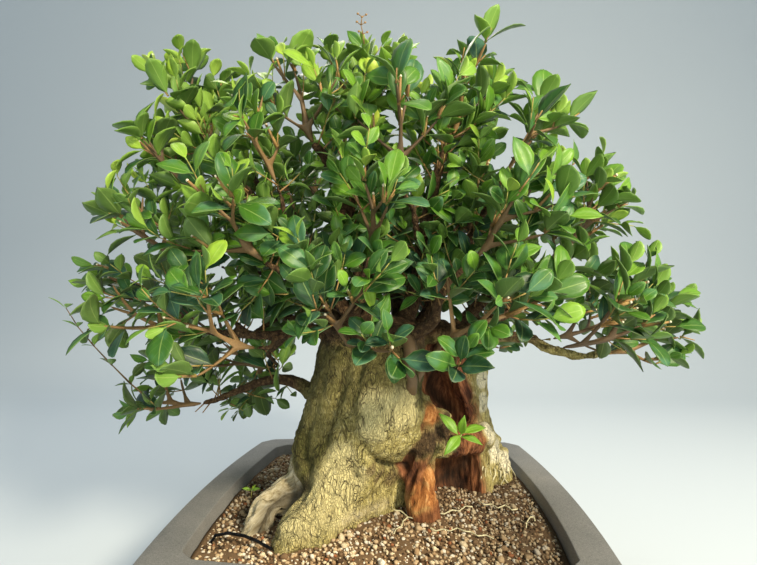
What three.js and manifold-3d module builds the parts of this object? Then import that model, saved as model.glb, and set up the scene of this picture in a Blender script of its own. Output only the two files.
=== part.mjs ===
// A privet bonsai in its square training pot: an old stump with flared roots and a hollow of
// dead wood, crooked limbs, and a broad dome of small oval leaves set in opposite pairs.
// Millimetres, +Z up. The origin is the middle of the pot's footprint, on the table.
import * as THREE from "three";
import { mergeVertices } from "three/addons/utils/BufferGeometryUtils.js";
import Module from "manifold-3d";

const wasm = await Module();
wasm.setup();

// Driving dimensions of the pot
const POT_HEIGHT = 88;
const POT_HALF_WIDTH = 166;
const POT_BOW = 9;
const CORNER_CUT = 8;
const RIM_WIDTH = 25;
const RIM_HEIGHT = 14;
const LIP_OVERHANG = 15;
const FOOT_HEIGHT = 8;
const FLOOR_THICKNESS = 10;
const WALL_TAPER = 12;
const FOOT_CENTRE = 104;
const FOOT_HALF = 20;
const DRAIN_RADIUS = 12;
const DRAIN_SPACING = 130;

// Driving dimensions of the plant
const SOIL_DEPTH_BELOW_RIM = 10;
const SOIL_MOUND = 8;
const TRUNK_FOOT_Z = 52;
const GAP = 0.3;
const CANOPY = { x: -11, y: -2, z: 250, halfX: 263, halfY: 150, height: 247, squareness: 2.3 };
// Its upper part lies a little to the left and back
const CANOPY_LEAN = { x: -0.09, y: 0.09 };
const SKIRT_Z = 202;
const LEAF_LENGTH = 32;
const LEAF_WIDTH = 16.5;
const LEAF_THICKNESS = 1.1;

const RIM_Z = POT_HEIGHT;
const FLOOR_Z = FOOT_HEIGHT + FLOOR_THICKNESS;
const INNER_TOP = POT_HALF_WIDTH - RIM_WIDTH;
const INNER_FLOOR = INNER_TOP - WALL_TAPER;
const SOIL_Z = RIM_Z - SOIL_DEPTH_BELOW_RIM;

// Small helpers for points, smooth steps and repeatable random numbers
const V = (x, y, z) => new THREE.Vector3(x, y, z);
const UP = V(0, 0, 1);
const mix = (a, b, t) => a + (b - a) * t;
const degrees = (d) => (d * Math.PI) / 180;

function randomFrom(seed) {
  let state = seed >>> 0;
  return () => {
    state = (state + 0x6d2b79f5) >>> 0;
    let t = state;
    t = Math.imul(t ^ (t >>> 15), t | 1);
    t ^= t + Math.imul(t ^ (t >>> 7), t | 61);
    return ((t ^ (t >>> 14)) >>> 0) / 4294967296;
  };
}

// A closed solid skinned over rings of points that turn the same way. An end is closed by a fan
// to its own point, or flat across the ring where no point is given.
function skin(rings, startPoint, endPoint) {
  const size = rings[0].length;
  const points = rings.flat();
  const faces = [];
  for (let ring = 0; ring + 1 < rings.length; ring++) {
    for (let j = 0; j < size; j++) {
      const a = ring * size + j;
      const b = ring * size + ((j + 1) % size);
      faces.push([a, b, b + size], [a, b + size, a + size]);
    }
  }
  const closeEnd = (first, point, forward) => {
    const fan = (a, b, c) => faces.push(forward ? [a, b, c] : [a, c, b]);
    if (point) {
      const tip = points.push(point) - 1;
      for (let j = 0; j < size; j++) fan(tip, first + j, first + ((j + 1) % size));
    } else {
      for (let j = 1; j + 1 < size; j++) fan(first, first + j, first + j + 1);
    }
  };
  closeEnd(0, startPoint, false);
  closeEnd((rings.length - 1) * size, endPoint, true);
  return new wasm.Manifold(
    new wasm.Mesh({
      numProp: 3,
      vertProperties: new Float32Array(points.flatMap((p) => [p.x, p.y, p.z])),
      triVerts: new Uint32Array(faces.flat()),
    }),
  );
}

// A three.js geometry as a solid for joining and cutting
function solidFromGeometry(geometry) {
  const bare = geometry.clone();
  bare.deleteAttribute("normal");
  bare.deleteAttribute("uv");
  const merged = mergeVertices(bare, 1e-4);
  return new wasm.Manifold(
    new wasm.Mesh({
      numProp: 3,
      vertProperties: merged.getAttribute("position").array,
      triVerts: new Uint32Array(merged.index.array),
    }),
  );
}

function geometryOf(solid) {
  const mesh = solid.getMesh();
  const positions = new Float32Array(mesh.numVert * 3);
  for (let i = 0; i < mesh.numVert; i++) {
    positions.set(mesh.vertProperties.subarray(i * mesh.numProp, i * mesh.numProp + 3), i * 3);
  }
  const geometry = new THREE.BufferGeometry();
  geometry.setAttribute("position", new THREE.BufferAttribute(positions, 3));
  geometry.setIndex(new THREE.BufferAttribute(mesh.triVerts, 1));
  return geometry;
}

// Tapered round wood along a smooth line through its points, cut square at both ends
function tube(points, startRadius, endRadius, sides, steps) {
  const curve = new THREE.CatmullRomCurve3(points);
  const rings = [];
  let side = V(0, 1, 0.3);
  for (let step = 0; step <= steps; step++) {
    const t = step / steps;
    const along = curve.getTangent(t).normalize();
    side = side.clone().addScaledVector(along, -side.dot(along)).normalize();
    const third = along.clone().cross(side);
    const radius = mix(startRadius, endRadius, t);
    const centre = curve.getPoint(t);
    rings.push(ringAround(centre, side, third, radius, sides));
  }
  return skin(rings);
}

function ringAround(centre, side, third, radius, sides) {
  const ring = [];
  for (let j = 0; j < sides; j++) {
    const angle = (2 * Math.PI * j) / sides;
    const point = centre.clone();
    point.addScaledVector(side, radius * Math.cos(angle));
    point.addScaledVector(third, radius * Math.sin(angle));
    ring.push(point);
  }
  return ring;
}

// The pot: a square outline with gently bowed sides and eased corners
const CORNER_EASE = 0.28;

function bowedSquare(halfWidth, z, sideSteps = 4) {
  const corner = halfWidth - POT_BOW;
  const straight = corner - CORNER_CUT;
  const ring = [];
  for (let side = 0; side < 4; side++) {
    const turn = (side * Math.PI) / 2;
    const place = (out, along) =>
      ring.push(
        V(
          out * Math.cos(turn) - along * Math.sin(turn),
          out * Math.sin(turn) + along * Math.cos(turn),
          z,
        ),
      );
    for (let step = 0; step <= sideSteps; step++) {
      const t = (2 * step) / sideSteps - 1;
      place(halfWidth - POT_BOW * t * t, straight * t);
    }
    const eased = corner - CORNER_CUT * CORNER_EASE;
    place(eased, eased);
  }
  return ring;
}

const POT = { baseInset: 14, heelInset: 10, heel: 6, underLip: 4, rimEase: 2, footFlare: 3, footLap: 2 };

function buildPot() {
  const bodyTop = POT_HALF_WIDTH - LIP_OVERHANG;
  let pot = skin([
    bowedSquare(bodyTop - POT.baseInset, FOOT_HEIGHT),
    bowedSquare(bodyTop - POT.heelInset, FOOT_HEIGHT + POT.heel),
    bowedSquare(bodyTop, RIM_Z - RIM_HEIGHT - POT.underLip),
    bowedSquare(POT_HALF_WIDTH, RIM_Z - RIM_HEIGHT),
    bowedSquare(POT_HALF_WIDTH, RIM_Z - POT.rimEase),
    bowedSquare(POT_HALF_WIDTH - POT.rimEase, RIM_Z),
    bowedSquare(INNER_TOP, RIM_Z),
    bowedSquare(INNER_FLOOR, FLOOR_Z),
  ]);
  for (const sx of [-1, 1]) {
    for (const sy of [-1, 1]) {
      const square = (half, z) =>
        [[1, 1], [-1, 1], [-1, -1], [1, -1]].map(([x, y]) =>
          V(sx * FOOT_CENTRE + x * half, sy * FOOT_CENTRE + y * half, z),
        );
      const top = square(FOOT_HALF + POT.footFlare, FOOT_HEIGHT + POT.footLap);
      pot = pot.add(skin([square(FOOT_HALF, 0), top]));
    }
  }
  const drillLength = 4 * FLOOR_THICKNESS;
  for (const sx of [-1, 1]) {
    const hole = new THREE.CylinderGeometry(DRAIN_RADIUS, DRAIN_RADIUS, drillLength, 12);
    hole.rotateX(Math.PI / 2).translate((sx * DRAIN_SPACING) / 2, 0, FLOOR_Z - FLOOR_THICKNESS);
    pot = pot.subtract(solidFromGeometry(hole));
  }
  return pot;
}

// A slotted drainage plate lies over each hole in the pot's floor, so that the soil stays in
const PLATE = { side: 36, thickness: 1.4, slots: 5, slotWidth: 3, slotLength: 26, pitch: 6 };

function buildDrainPlate(x) {
  const block = (width, length, height, y) => {
    const geometry = new THREE.BoxGeometry(width, length, height);
    geometry.translate(x, y, FLOOR_Z + GAP + PLATE.thickness / 2);
    return solidFromGeometry(geometry);
  };
  let plate = block(PLATE.side, PLATE.side, PLATE.thickness, 0);
  for (let i = 0; i < PLATE.slots; i++) {
    const y = (i - (PLATE.slots - 1) / 2) * PLATE.pitch;
    plate = plate.subtract(block(PLATE.slotLength, PLATE.slotWidth, 3 * PLATE.thickness, y));
  }
  return plate;
}

// The stump is built of stacked rings: each level has a height, a middle x and y, and half
// widths in x and y. It can be swelled by a margin, to cut what stands against it.
function column(levels, sides, margin, reach = () => 1) {
  const rings = levels.map(([z, x, y, halfX, halfY]) => {
    const ring = [];
    for (let j = 0; j < sides; j++) {
      const angle = (2 * Math.PI * j) / sides;
      const out = reach(angle, z);
      const across = (halfX + margin) * out * Math.cos(angle);
      const deep = (halfY + margin) * out * Math.sin(angle);
      ring.push(V(x + across, y + deep, z));
    }
    return ring;
  });
  return skin(rings);
}

// A bump of height 1 at one bearing, fading to nothing over a width on both sides
function bump(angle, bearing, width) {
  const turn = Math.atan2(Math.sin(angle - bearing), Math.cos(angle - bearing));
  return Math.exp(-((turn / width) ** 2));
}

// The living trunk swells into roots towards the soil, the longest at the front left, and is
// fluted by grooves that twist as they climb: bearing, width, size, and how they change
const FLARE = { top: 150, height: 70 };
const ROOT_SWELLS = [
  { bearing: -119, width: 0.34, size: 0.8, power: 2 },
  { bearing: 172, width: 0.5, size: 0.26, power: 1 },
  { bearing: 118, width: 0.4, size: 0.3, power: 1.5 },
];
const GROOVES = [
  { bearing: -128, twist: 20, width: 0.2, depth: 0.15, fade: 0.8 },
  { bearing: -96, twist: 6, width: 0.2, depth: 0.14, fade: 0.2 },
  { bearing: 95, twist: 30, width: 0.25, depth: 0.12, fade: 0 },
];
const GROOVE_FOOT = 80;
const GROOVE_RISE = 150;
// Rounded lobes, the undercut below the right one and the waist at the left: bearing, width,
// height, spread, size
const LOBES = [
  { bearing: -44, width: 0.55, z: 184, spread: 44, size: 0.16 },
  { bearing: -46, width: 0.6, z: 90, spread: 32, size: -0.4 },
  { bearing: -126, width: 0.4, z: 128, spread: 34, size: 0.07 },
  { bearing: 160, width: 0.4, z: 150, spread: 26, size: -0.1 },
  { bearing: -164, width: 0.42, z: 103, spread: 16, size: -0.22 },
];

function trunkReach(angle, z) {
  const low = THREE.MathUtils.clamp((FLARE.top - z) / FLARE.height, 0, 1);
  const climb = (z - GROOVE_FOOT) / GROOVE_RISE;
  let reach = 1;
  for (const { bearing, width, size, power } of ROOT_SWELLS) {
    reach += size * low ** power * bump(angle, degrees(bearing), width);
  }
  for (const { bearing, twist, width, depth, fade } of GROOVES) {
    reach -= depth * (1 - low * fade) * bump(angle, degrees(bearing + twist * climb), width);
  }
  for (const { bearing, width, z: middle, spread, size } of LOBES) {
    const level = Math.exp(-(((z - middle) / spread) ** 2));
    reach += size * level * bump(angle, degrees(bearing), width);
  }
  return reach;
}

const LIVING_TRUNK = [
  [TRUNK_FOOT_Z, -28, -26, 51, 50],
  [80, -28, -26, 53, 52],
  [98, -27, -26, 54, 51],
  [118, -26, -26, 54, 50],
  [128, -25, -26, 54, 51],
  [140, -23, -26, 54, 52],
  [164, -18, -25, 52, 54],
  [195, -13, -23, 48, 52],
  [224, -9, -22, 46, 47],
  [238, -7, -20, 40, 40],
  [246, -6, -18, 26, 26],
];
const RIGHT_STRIP = [
  [TRUNK_FOOT_Z, 106, 58, 20, 22],
  [80, 107, 59, 24, 25],
  [96, 105, 58, 22, 23],
  [116, 97, 55, 18, 21],
  [150, 89, 52, 15, 24],
  [195, 85, 48, 18, 27],
  [222, 80, 44, 19, 24],
  [236, 74, 40, 13, 17],
];
const BACK_WALL = [
  [TRUNK_FOOT_Z, 28, 34, 80, 45],
  [90, 28, 34, 80, 45],
  [120, 28, 33, 71, 43],
  [160, 28, 32, 66, 40],
  [200, 30, 28, 60, 40],
  [226, 28, 22, 52, 37],
  [242, 26, 16, 32, 24],
];
const HOLLOW = [
  [TRUNK_FOOT_Z - 6, 68, -14, 25, 26],
  [100, 69, -9, 26, 29],
  [130, 67, -4, 22, 29],
  [165, 57, -2, 20, 32],
  [192, 50, -3, 14, 28],
  [212, 46, -2, 6, 11],
];
// Roots and dead wood: points, radius at both ends
const ROOTS = [
  // bare dead root at the left front
  [[[-56, -26, 114], [-76, -44, 101], [-92, -64, 92], [-100, -79, 66]], 14, 11],
  // low root ridge from under the bulge round to the front
  [[[28, -30, 114], [8, -28, 106], [-30, -60, 97], [-54, -94, 72]], 14, 12],
  // leg of dead wood in front of the hollow, and its broken top
  [[[33, -30, 178], [37, -37, 150], [30, -42, 122], [32, -46, 92], [41, -48, 58]], 10, 15],
  [[[26, -32, 132], [41, -33, 142], [52, -26, 164]], 15, 9],
  // bridge of dead wood that parts the hollow in two
  [[[34, -36, 136], [62, -20, 136], [94, 30, 128]], 13, 15],
  // roots at the back and right
  [[[16, 58, 116], [10, 88, 94], [6, 108, 64]], 19, 11],
  [[[-34, 30, 122], [-66, 70, 98], [-86, 92, 64]], 20, 11],
  [[[108, 60, 104], [116, 66, 88], [117, 74, 62]], 16, 9],
];
const TRUNK_SIDES = 28;
const WALL_SIDES = 14;
const HOLLOW_SIDES = 12;
const STRIP_SIDES = 10;
const ROOT_SIDES = 7;
const ROOT_STEPS = 3;

function buildStump(margin) {
  let stump = column(BACK_WALL, WALL_SIDES, margin).add(column(RIGHT_STRIP, STRIP_SIDES, margin));
  stump = stump.subtract(column(HOLLOW, HOLLOW_SIDES, -margin));
  stump = stump.add(column(LIVING_TRUNK, TRUNK_SIDES, margin, trunkReach));
  for (const [points, startRadius, endRadius] of ROOTS) {
    const route = points.map(([x, y, z]) => V(x, y, z));
    const ends = [startRadius + margin, endRadius + margin];
    stump = stump.add(tube(route, ...ends, ROOT_SIDES, ROOT_STEPS));
  }
  const depth = TRUNK_FOOT_Z;
  const below = new THREE.BoxGeometry(2 * POT_HALF_WIDTH, 2 * POT_HALF_WIDTH, depth);
  below.translate(0, 0, TRUNK_FOOT_Z - margin - depth / 2);
  return stump.subtract(solidFromGeometry(below));
}

// The soil fills the pot, rises a little to the trunk, and has a rough gritty top
const SOIL_RINGS = [0.84, 0.62, 0.36];
const SOIL_ROUGHNESS = 2.4;
const MOUND_RADIUS = 105;

function buildSoil(wireHole) {
  const random = randomFrom(7);
  const floor = FLOOR_Z + GAP;
  const wallSlope = (INNER_TOP - INNER_FLOOR) / (RIM_Z - FLOOR_Z);
  const half = (z) => INNER_FLOOR + (z - FLOOR_Z) * wallSlope - 2 * GAP;
  const edge = bowedSquare(half(SOIL_Z), SOIL_Z);
  const rings = [bowedSquare(half(floor), floor), edge];
  const mound = (x, y) => SOIL_MOUND * Math.exp(-((Math.hypot(x, y) / MOUND_RADIUS) ** 2));
  for (const scale of SOIL_RINGS) {
    rings.push(
      edge.map(({ x, y }) => {
        const rough = SOIL_ROUGHNESS * (random() - 0.5);
        return V(x * scale, y * scale, SOIL_Z + mound(x * scale, y * scale) + rough);
      }),
    );
  }
  let soil = skin(rings, null, V(0, 0, SOIL_Z + SOIL_MOUND));
  soil = soil.subtract(buildStump(GAP * 2)).subtract(wireHole);
  for (const sx of [-1, 1]) {
    const side = PLATE.side + 2 * GAP;
    const pocket = new THREE.BoxGeometry(side, side, 2 * (PLATE.thickness + GAP));
    pocket.translate((sx * DRAIN_SPACING) / 2, 0, floor);
    soil = soil.subtract(solidFromGeometry(pocket));
  }
  return largestBody(soil);
}

// What joins and cuts leave may hold a loose scrap and slivers: the body with the most volume
// is kept, and edges shorter than the tolerance are closed up
const SLIVER = 0.1;

function largestBody(solid) {
  const bodies = solid.decompose();
  bodies.sort((a, b) => b.volume() - a.volume());
  return bodies[0].simplify(SLIVER);
}

// The limbs, each from its seat on the stump to its end: name, points, radius at both ends
const LIMBS = [
  ["limb_left_low", [[-38, 4, 150], [-63, 6, 168], [-84, 11, 181], [-104, 16, 184], [-127, 20, 179],
    [-166, 25, 162], [-192, 27, 150]], 9, 3],
  ["limb_left_mid", [[-30, -20, 226], [-51, -30, 232], [-70, -40, 234], [-95, -45, 229],
    [-118, -50, 231], [-159, -65, 238]], 8, 3],
  ["limb_left_front", [[-28, -42, 222], [-42, -60, 236], [-51, -70, 251], [-59, -78, 269],
    [-59, -80, 292], [-51, -80, 317]], 8, 3],
  ["limb_centre_front", [[-14, -46, 226], [-21, -69, 244], [-17, -82, 259], [-15, -89, 271]], 8, 4],
  ["limb_front_right", [[14, -40, 228], [30, -61, 234], [43, -75, 244], [46, -86, 265],
    [39, -90, 289]], 8, 3],
  ["limb_left_high", [[-22, -4, 232], [-44, -4, 262], [-86, -10, 320], [-135, -20, 370],
    [-170, -28, 392]], 9, 3],
  ["limb_top_centre", [[-8, -14, 236], [-16, -14, 272], [-34, -20, 330], [-50, -28, 386],
    [-57, -30, 416]], 11, 4],
  ["limb_top_right", [[16, -18, 234], [30, -20, 270], [40, -20, 336], [55, -26, 392], [74, -30, 424],
    [66, -30, 444]], 10, 3],
  ["limb_right_up", [[34, 0, 234], [58, 2, 276], [98, 10, 342], [113, 12, 368], [124, 12, 398]], 9, 3],
  ["limb_right_mid", [[40, -16, 228], [66, -24, 232], [98, -32, 244], [134, -45, 265],
    [166, -50, 284]], 9, 3],
  ["limb_right_low", [[66, 26, 214], [104, 14, 226], [136, 0, 224], [165, -10, 210], [208, -12, 209],
    [240, -8, 212]], 8, 3],
  ["limb_right_high", [[60, 30, 224], [88, 34, 250], [135, 32, 294], [181, 24, 322], [199, 22, 348]], 9, 3],
  ["limb_back_left", [[-26, 12, 230], [-56, 40, 250], [-92, 68, 284], [-120, 82, 322]], 10, 3],
  ["limb_back_centre", [[14, 28, 226], [12, 58, 262], [8, 80, 306], [4, 90, 352]], 10, 3],
  ["limb_back_right", [[66, 44, 214], [96, 62, 240], [130, 76, 272], [156, 84, 308]], 9, 3],
];
const LIMB_SIDES = 5;
const BRANCH_SIDES = 4;

// The sprays fill the dome in rows, from the skirt to the top: height, number, where the first
// stands as a share of the way round, and how near to the dome's surface they are
const ROWS = [
  { z: 240, count: 10, first: 0.03, seat: 0.91 },
  { z: 318, count: 10, first: 0.05, seat: 0.92 },
  { z: 392, count: 8, first: 0.05, seat: 0.93 },
  { z: 436, count: 5, first: 0.1, seat: 0.86 },
];
const LONE_SPRAYS = [
  ["spray_top", V(-34, -4, 459)],
  ["spray_left_tip", V(-233, -8, 268)],
  ["spray_right_tip", V(239, -14, 222)],
  ["spray_left_shoulder", V(-184, -16, 438)],
  ["spray_left_low_tip", V(-222, 32, 156), SOIL_Z],
  ["spray_left_low_inner", V(-150, 30, 200), SOIL_Z],
];
// Short shoots stand deeper in the dome, about its middle. Points are drawn there at random, and
// a shoot stands at each that is clear of the other sprays and that a branch can reach.
const INNER_SPRAYS = { x: 10, y: -22, z: 335, halfX: 165, halfY: 72, halfZ: 68, apart: 60, depth: 36 };
const INNER_COUNT = 5;
const INNER_TRIES = 900;
const INNER_ROOM = 9;
const HEART = V(0, 0, 200);
const SPRAY_DEPTH = 52;

// How far the dome reaches from its middle at a bearing and height
function domeReach(bearing, z) {
  const n = CANOPY.squareness;
  const level = Math.min(Math.abs(z - CANOPY.z) / CANOPY.height, 0.98);
  const shrink = (1 - level ** n) ** (1 / n);
  const across = Math.abs(Math.cos(bearing) / CANOPY.halfX) ** n;
  const deep = Math.abs(Math.sin(bearing) / CANOPY.halfY) ** n;
  return shrink / (across + deep) ** (1 / n);
}

// Bearings that stand evenly along the dome's long outline
function evenBearings(row, random) {
  const steps = 360;
  const at = (k) => {
    const bearing = (2 * Math.PI * k) / steps;
    const reach = domeReach(bearing, row.z);
    return V(reach * Math.cos(bearing), reach * Math.sin(bearing), 0);
  };
  const lengths = [0];
  for (let k = 1; k <= steps; k++) lengths.push(lengths[k - 1] + at(k).distanceTo(at(k - 1)));
  return Array.from({ length: row.count }, (_, i) => {
    const share = (row.first + (i + 0.24 * (random() - 0.5)) / row.count + 1) % 1;
    const k = lengths.findIndex((length) => length >= share * lengths[steps]);
    return (2 * Math.PI * k) / steps;
  });
}

function planSprays() {
  const random = randomFrom(21);
  const sprays = LONE_SPRAYS.map(([name, site, floor = SKIRT_Z]) => ({ name, site, floor }));
  ROWS.forEach((row, r) => {
    evenBearings(row, random).forEach((bearing, i) => {
      const z = row.z + 16 * (random() - 0.5);
      const reach = domeReach(bearing, z) * row.seat - SPRAY_DEPTH / 2;
      const x = CANOPY.x + CANOPY_LEAN.x * (z - CANOPY.z) + reach * Math.cos(bearing);
      const y = CANOPY.y + CANOPY_LEAN.y * (z - CANOPY.z) + reach * Math.sin(bearing);
      const number = String(i + 1).padStart(2, "0");
      sprays.push({ name: `spray_row${r + 1}_${number}`, site: V(x, y, z), floor: SKIRT_Z });
    });
  });
  sprays.forEach((spray) => pointOutward(spray, SPRAY_DEPTH));
  return sprays;
}

// A spray points away from the tree's heart and a little up, and its socket is behind it
function pointOutward(spray, depth) {
  const out = spray.site.clone().sub(HEART).normalize();
  spray.out = out.addScaledVector(UP, 0.15).normalize();
  spray.depth = depth;
  spray.socket = spray.site.clone().addScaledVector(spray.out, -depth * 0.75);
  spray.leafLength = LEAF_LENGTH;
}

// Shortest distance between two straight pieces a-b and c-d
function segmentDistance(a, b, c, d) {
  const u = b.clone().sub(a);
  const v = d.clone().sub(c);
  const w = a.clone().sub(c);
  const [uu, uv, vv] = [u.dot(u), u.dot(v), v.dot(v)];
  const [uw, vw] = [u.dot(w), v.dot(w)];
  const clamp = (t) => Math.min(1, Math.max(0, t));
  const spread = uu * vv - uv * uv;
  const first = spread > 1e-9 ? clamp((uv * vw - vv * uw) / spread) : 0;
  const t = clamp((uv * first + vw) / vv);
  const s = clamp((uv * t - uw) / uu);
  return a.clone().addScaledVector(u, s).distanceTo(c.clone().addScaledVector(v, t));
}

// Wood is also kept as a list of straight pieces with radii, so that what grows later keeps clear
function woodPieces(limb, points, startRadius, endRadius, steps) {
  const curve = new THREE.CatmullRomCurve3(points);
  const pieces = [];
  for (let i = 0; i < steps; i++) {
    const a = curve.getPoint(i / steps);
    const b = curve.getPoint((i + 1) / steps);
    pieces.push({ limb, a, b, radius: mix(startRadius, endRadius, i / steps) });
  }
  return pieces;
}

function clearance(pieces, a, b, exceptLimb) {
  let least = Infinity;
  for (const piece of pieces) {
    if (piece.limb === exceptLimb) continue;
    least = Math.min(least, segmentDistance(piece.a, piece.b, a, b) - piece.radius);
  }
  return least;
}

// How far a branch would have to go, counted longer the more it has to bend
const BEND_COST = { perLength: 1.5, each: 34, arriving: 60 };
const SOCKET_TURN = 13;

function effort(from, tangent, to) {
  const reach = to.clone().sub(from);
  const length = reach.length();
  const bend = 1 - reach.dot(tangent) / length;
  return length + (BEND_COST.perLength * length + BEND_COST.each) * bend;
}

// How far it then has to turn to point the way that the spray points
function arrival(before, spray) {
  const heading = spray.socket.clone().sub(before).normalize();
  return BEND_COST.arriving * (1 - heading.dot(spray.out));
}

// Each limb runs on to the spray that lies best for it, and side branches carry the others
function planLimbs(sprays) {
  const limbs = LIMBS.map(([name, points, startRadius, endRadius]) => ({
    name,
    points: points.map(([x, y, z]) => V(x, y, z)),
    startRadius,
    endRadius,
    branches: [],
  }));
  const free = new Set(sprays);
  const pairs = limbs.flatMap((limb) => sprays.flatMap((spray) => limbEndings(limb, spray)));
  pairs.sort((p, q) => p.cost - q.cost);
  const ended = new Set();
  for (const { limb, spray, points } of pairs) {
    if (ended.has(limb) || !free.has(spray)) continue;
    ended.add(limb);
    free.delete(spray);
    limb.points = points;
    seatSpray(spray, limb.points, limb.endRadius);
  }
  const wood = limbs.flatMap((limb) =>
    woodPieces(limb.name, limb.points, limb.startRadius, limb.endRadius, 12),
  );
  for (const spray of free) growBranch(spray, limbs, wood, sprays);
  addInnerSprays(limbs, wood, sprays);
  return { limbs, wood };
}

function growBranch(spray, limbs, wood, sprays) {
  const best = bestBranch(spray, limbs, wood, sprays);
  if (!best) return false;
  const startRadius = Math.min(mix(best.limb.startRadius, best.limb.endRadius, best.t) * 0.75, 4.5);
  const branch = { points: best.points, startRadius, endRadius: 2.2 };
  best.limb.branches.push(branch);
  wood.push(...woodPieces(best.limb.name, branch.points, startRadius, branch.endRadius, 4));
  seatSpray(spray, branch.points, branch.endRadius);
  return true;
}

function addInnerSprays(limbs, wood, sprays) {
  const { x, y, z, halfX, halfY, halfZ, apart, depth } = INNER_SPRAYS;
  const random = randomFrom(77);
  let added = 0;
  for (let i = 0; i < INNER_TRIES && added < INNER_COUNT; i++) {
    const [a, b, c] = [random(), random(), random()].map((share) => 2 * share - 1);
    const site = V(x + a * halfX, y + b * halfY, z + c * halfZ);
    if (Math.hypot(a, b, c) > 1) continue;
    if (sprays.some((other) => other.site.distanceTo(site) < apart)) continue;
    const spray = { name: `spray_inner_${added + 1}`, site, floor: SKIRT_Z, small: true };
    pointOutward(spray, depth);
    if (!clearOfWood(spray.socket, site, INNER_ROOM, wood)) continue;
    if (!growBranch(spray, limbs, wood, sprays)) continue;
    sprays.push(spray);
    added++;
  }
}

// The ways in which a limb could run on to a spray: from its end, or from a point before it
function limbEndings(limb, spray) {
  return [0, 1, 2].map((dropped) => {
    const kept = limb.points.slice(0, limb.points.length - dropped);
    const tangent = new THREE.CatmullRomCurve3(kept).getTangent(1);
    const turn = arrival(kept.at(-1), spray);
    const cost = effort(kept.at(-1), tangent, spray.socket) + turn + 6 * dropped;
    return { limb, spray, cost, points: [...kept, spray.socket.clone()] };
  });
}

function bestBranch(spray, limbs, wood, sprays) {
  let best = null;
  const stems = sprays
    .filter((other) => other !== spray)
    .map(({ name, socket, site }) => ({ limb: name, a: socket, b: site, radius: 3 }));
  const obstacles = [...wood, ...stems];
  for (const limb of limbs) {
    const curve = new THREE.CatmullRomCurve3(limb.points);
    for (let t = 0.28; t < 0.93; t += 0.065) {
      const from = curve.getPoint(t);
      const tangent = curve.getTangent(t);
      const middle = from.clone().lerp(spray.socket, 0.5);
      middle.addScaledVector(tangent, from.distanceTo(spray.socket) * 0.14);
      const room = Math.min(
        clearance(obstacles, from, middle, limb.name),
        clearance(obstacles, middle, spray.socket, null),
      );
      if (room < 5) continue;
      const crowding = 14 * limb.branches.length;
      const cost = effort(from, tangent, spray.socket) + arrival(middle, spray) + crowding;
      const points = [from, middle, beforeSocket(middle, spray), spray.socket.clone()];
      if (!best || cost < best.cost) best = { cost, limb, points, t };
    }
  }
  return best;
}

// A point a little before the socket, from where a branch turns half way to the spray's own way
function beforeSocket(from, spray) {
  const heading = spray.socket.clone().sub(from).normalize();
  const way = heading.add(spray.out).normalize();
  return spray.socket.clone().addScaledVector(way, -SOCKET_TURN);
}

// A spray sets out square to the end of the branch that carries it
function seatSpray(spray, points, radius) {
  spray.start = new THREE.CatmullRomCurve3(points).getTangent(1).normalize();
  spray.radius = radius;
}

function buildWood(limbs) {
  let wood = buildStump(0);
  for (const limb of limbs) {
    const steps = limb.points.length + 1;
    wood = wood.add(tube(limb.points, limb.startRadius, limb.endRadius, LIMB_SIDES, steps));
    for (const branch of limb.branches) {
      const { points, startRadius, endRadius } = branch;
      wood = wood.add(tube(points, startRadius, endRadius, BRANCH_SIDES, points.length - 1));
    }
  }
  return largestBody(wood);
}

// A spray is one closed skin that grows. It starts as a three-sided stem, and every twig and
// leaf opens a face of the wood that carries it and runs on from that face's three corners.
function newGrowth(ring) {
  const growth = { points: [], faces: new Set() };
  const corners = addRing(growth, ring);
  growth.faces.add([corners[0], corners[2], corners[1]]);
  return { growth, corners };
}

function addRing(growth, ring) {
  return ring.map((point) => growth.points.push(point) - 1);
}

// A sleeve between two rings: three sides, each of two faces
function addSleeve(growth, lower, upper) {
  return lower.map((a, j) => {
    const next = (j + 1) % 3;
    const corners = [a, lower[next], upper[next], upper[j]];
    const faces = [[a, lower[next], upper[next]], [a, upper[next], upper[j]]];
    faces.forEach((face) => growth.faces.add(face));
    return { corners, faces, taken: false };
  });
}

// Opens a small three-cornered place at the upper edge of a side, for a leaf or twig to start at
const PLACE_WIDTH = 2.6;

function openSide(growth, side) {
  const [lowA, lowB, highB, highA] = side.corners;
  const p = growth.points;
  const low = p[lowA].clone().lerp(p[lowB], 0.5);
  const high = p[highA].clone().lerp(p[highB], 0.5);
  const middle = p.push(high.clone().lerp(low, PLACE_WIDTH / high.distanceTo(low))) - 1;
  side.faces.forEach((face) => growth.faces.delete(face));
  const around = [[lowA, lowB, middle], [lowB, highB, middle], [highA, lowA, middle]];
  around.forEach((face) => growth.faces.add(face));
  return [middle, highB, highA];
}

// The same three corners, counted from the one that best meets the first point of the next ring
function turnedTo(growth, corners, ring) {
  const middle = centreOf(corners.map((i) => growth.points[i]));
  const ringMiddle = centreOf(ring);
  const fit = (shift) =>
    ring.reduce((sum, point, k) => {
      const corner = growth.points[corners[(k + shift) % 3]].clone().sub(middle).normalize();
      return sum + corner.dot(point.clone().sub(ringMiddle).normalize());
    }, 0);
  const shift = [0, 1, 2].reduce((best, k) => (fit(k) > fit(best) ? k : best), 0);
  return corners.map((_, k) => corners[(k + shift) % 3]);
}

function centreOf(points) {
  const sum = points.reduce((total, point) => total.add(point), V(0, 0, 0));
  return sum.divideScalar(points.length);
}

// One privet leaf: an arched oval blade with a keel under its midrib, widest near its middle
const LEAF_STATIONS = [
  { along: 0.34, half: 0.48, arch: 0.03 },
  { along: 0.7, half: 0.41, arch: 0.01 },
];
const LEAF_TIP_ARCH = -0.1;
const LEAF_FOLD = 0.1;

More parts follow.
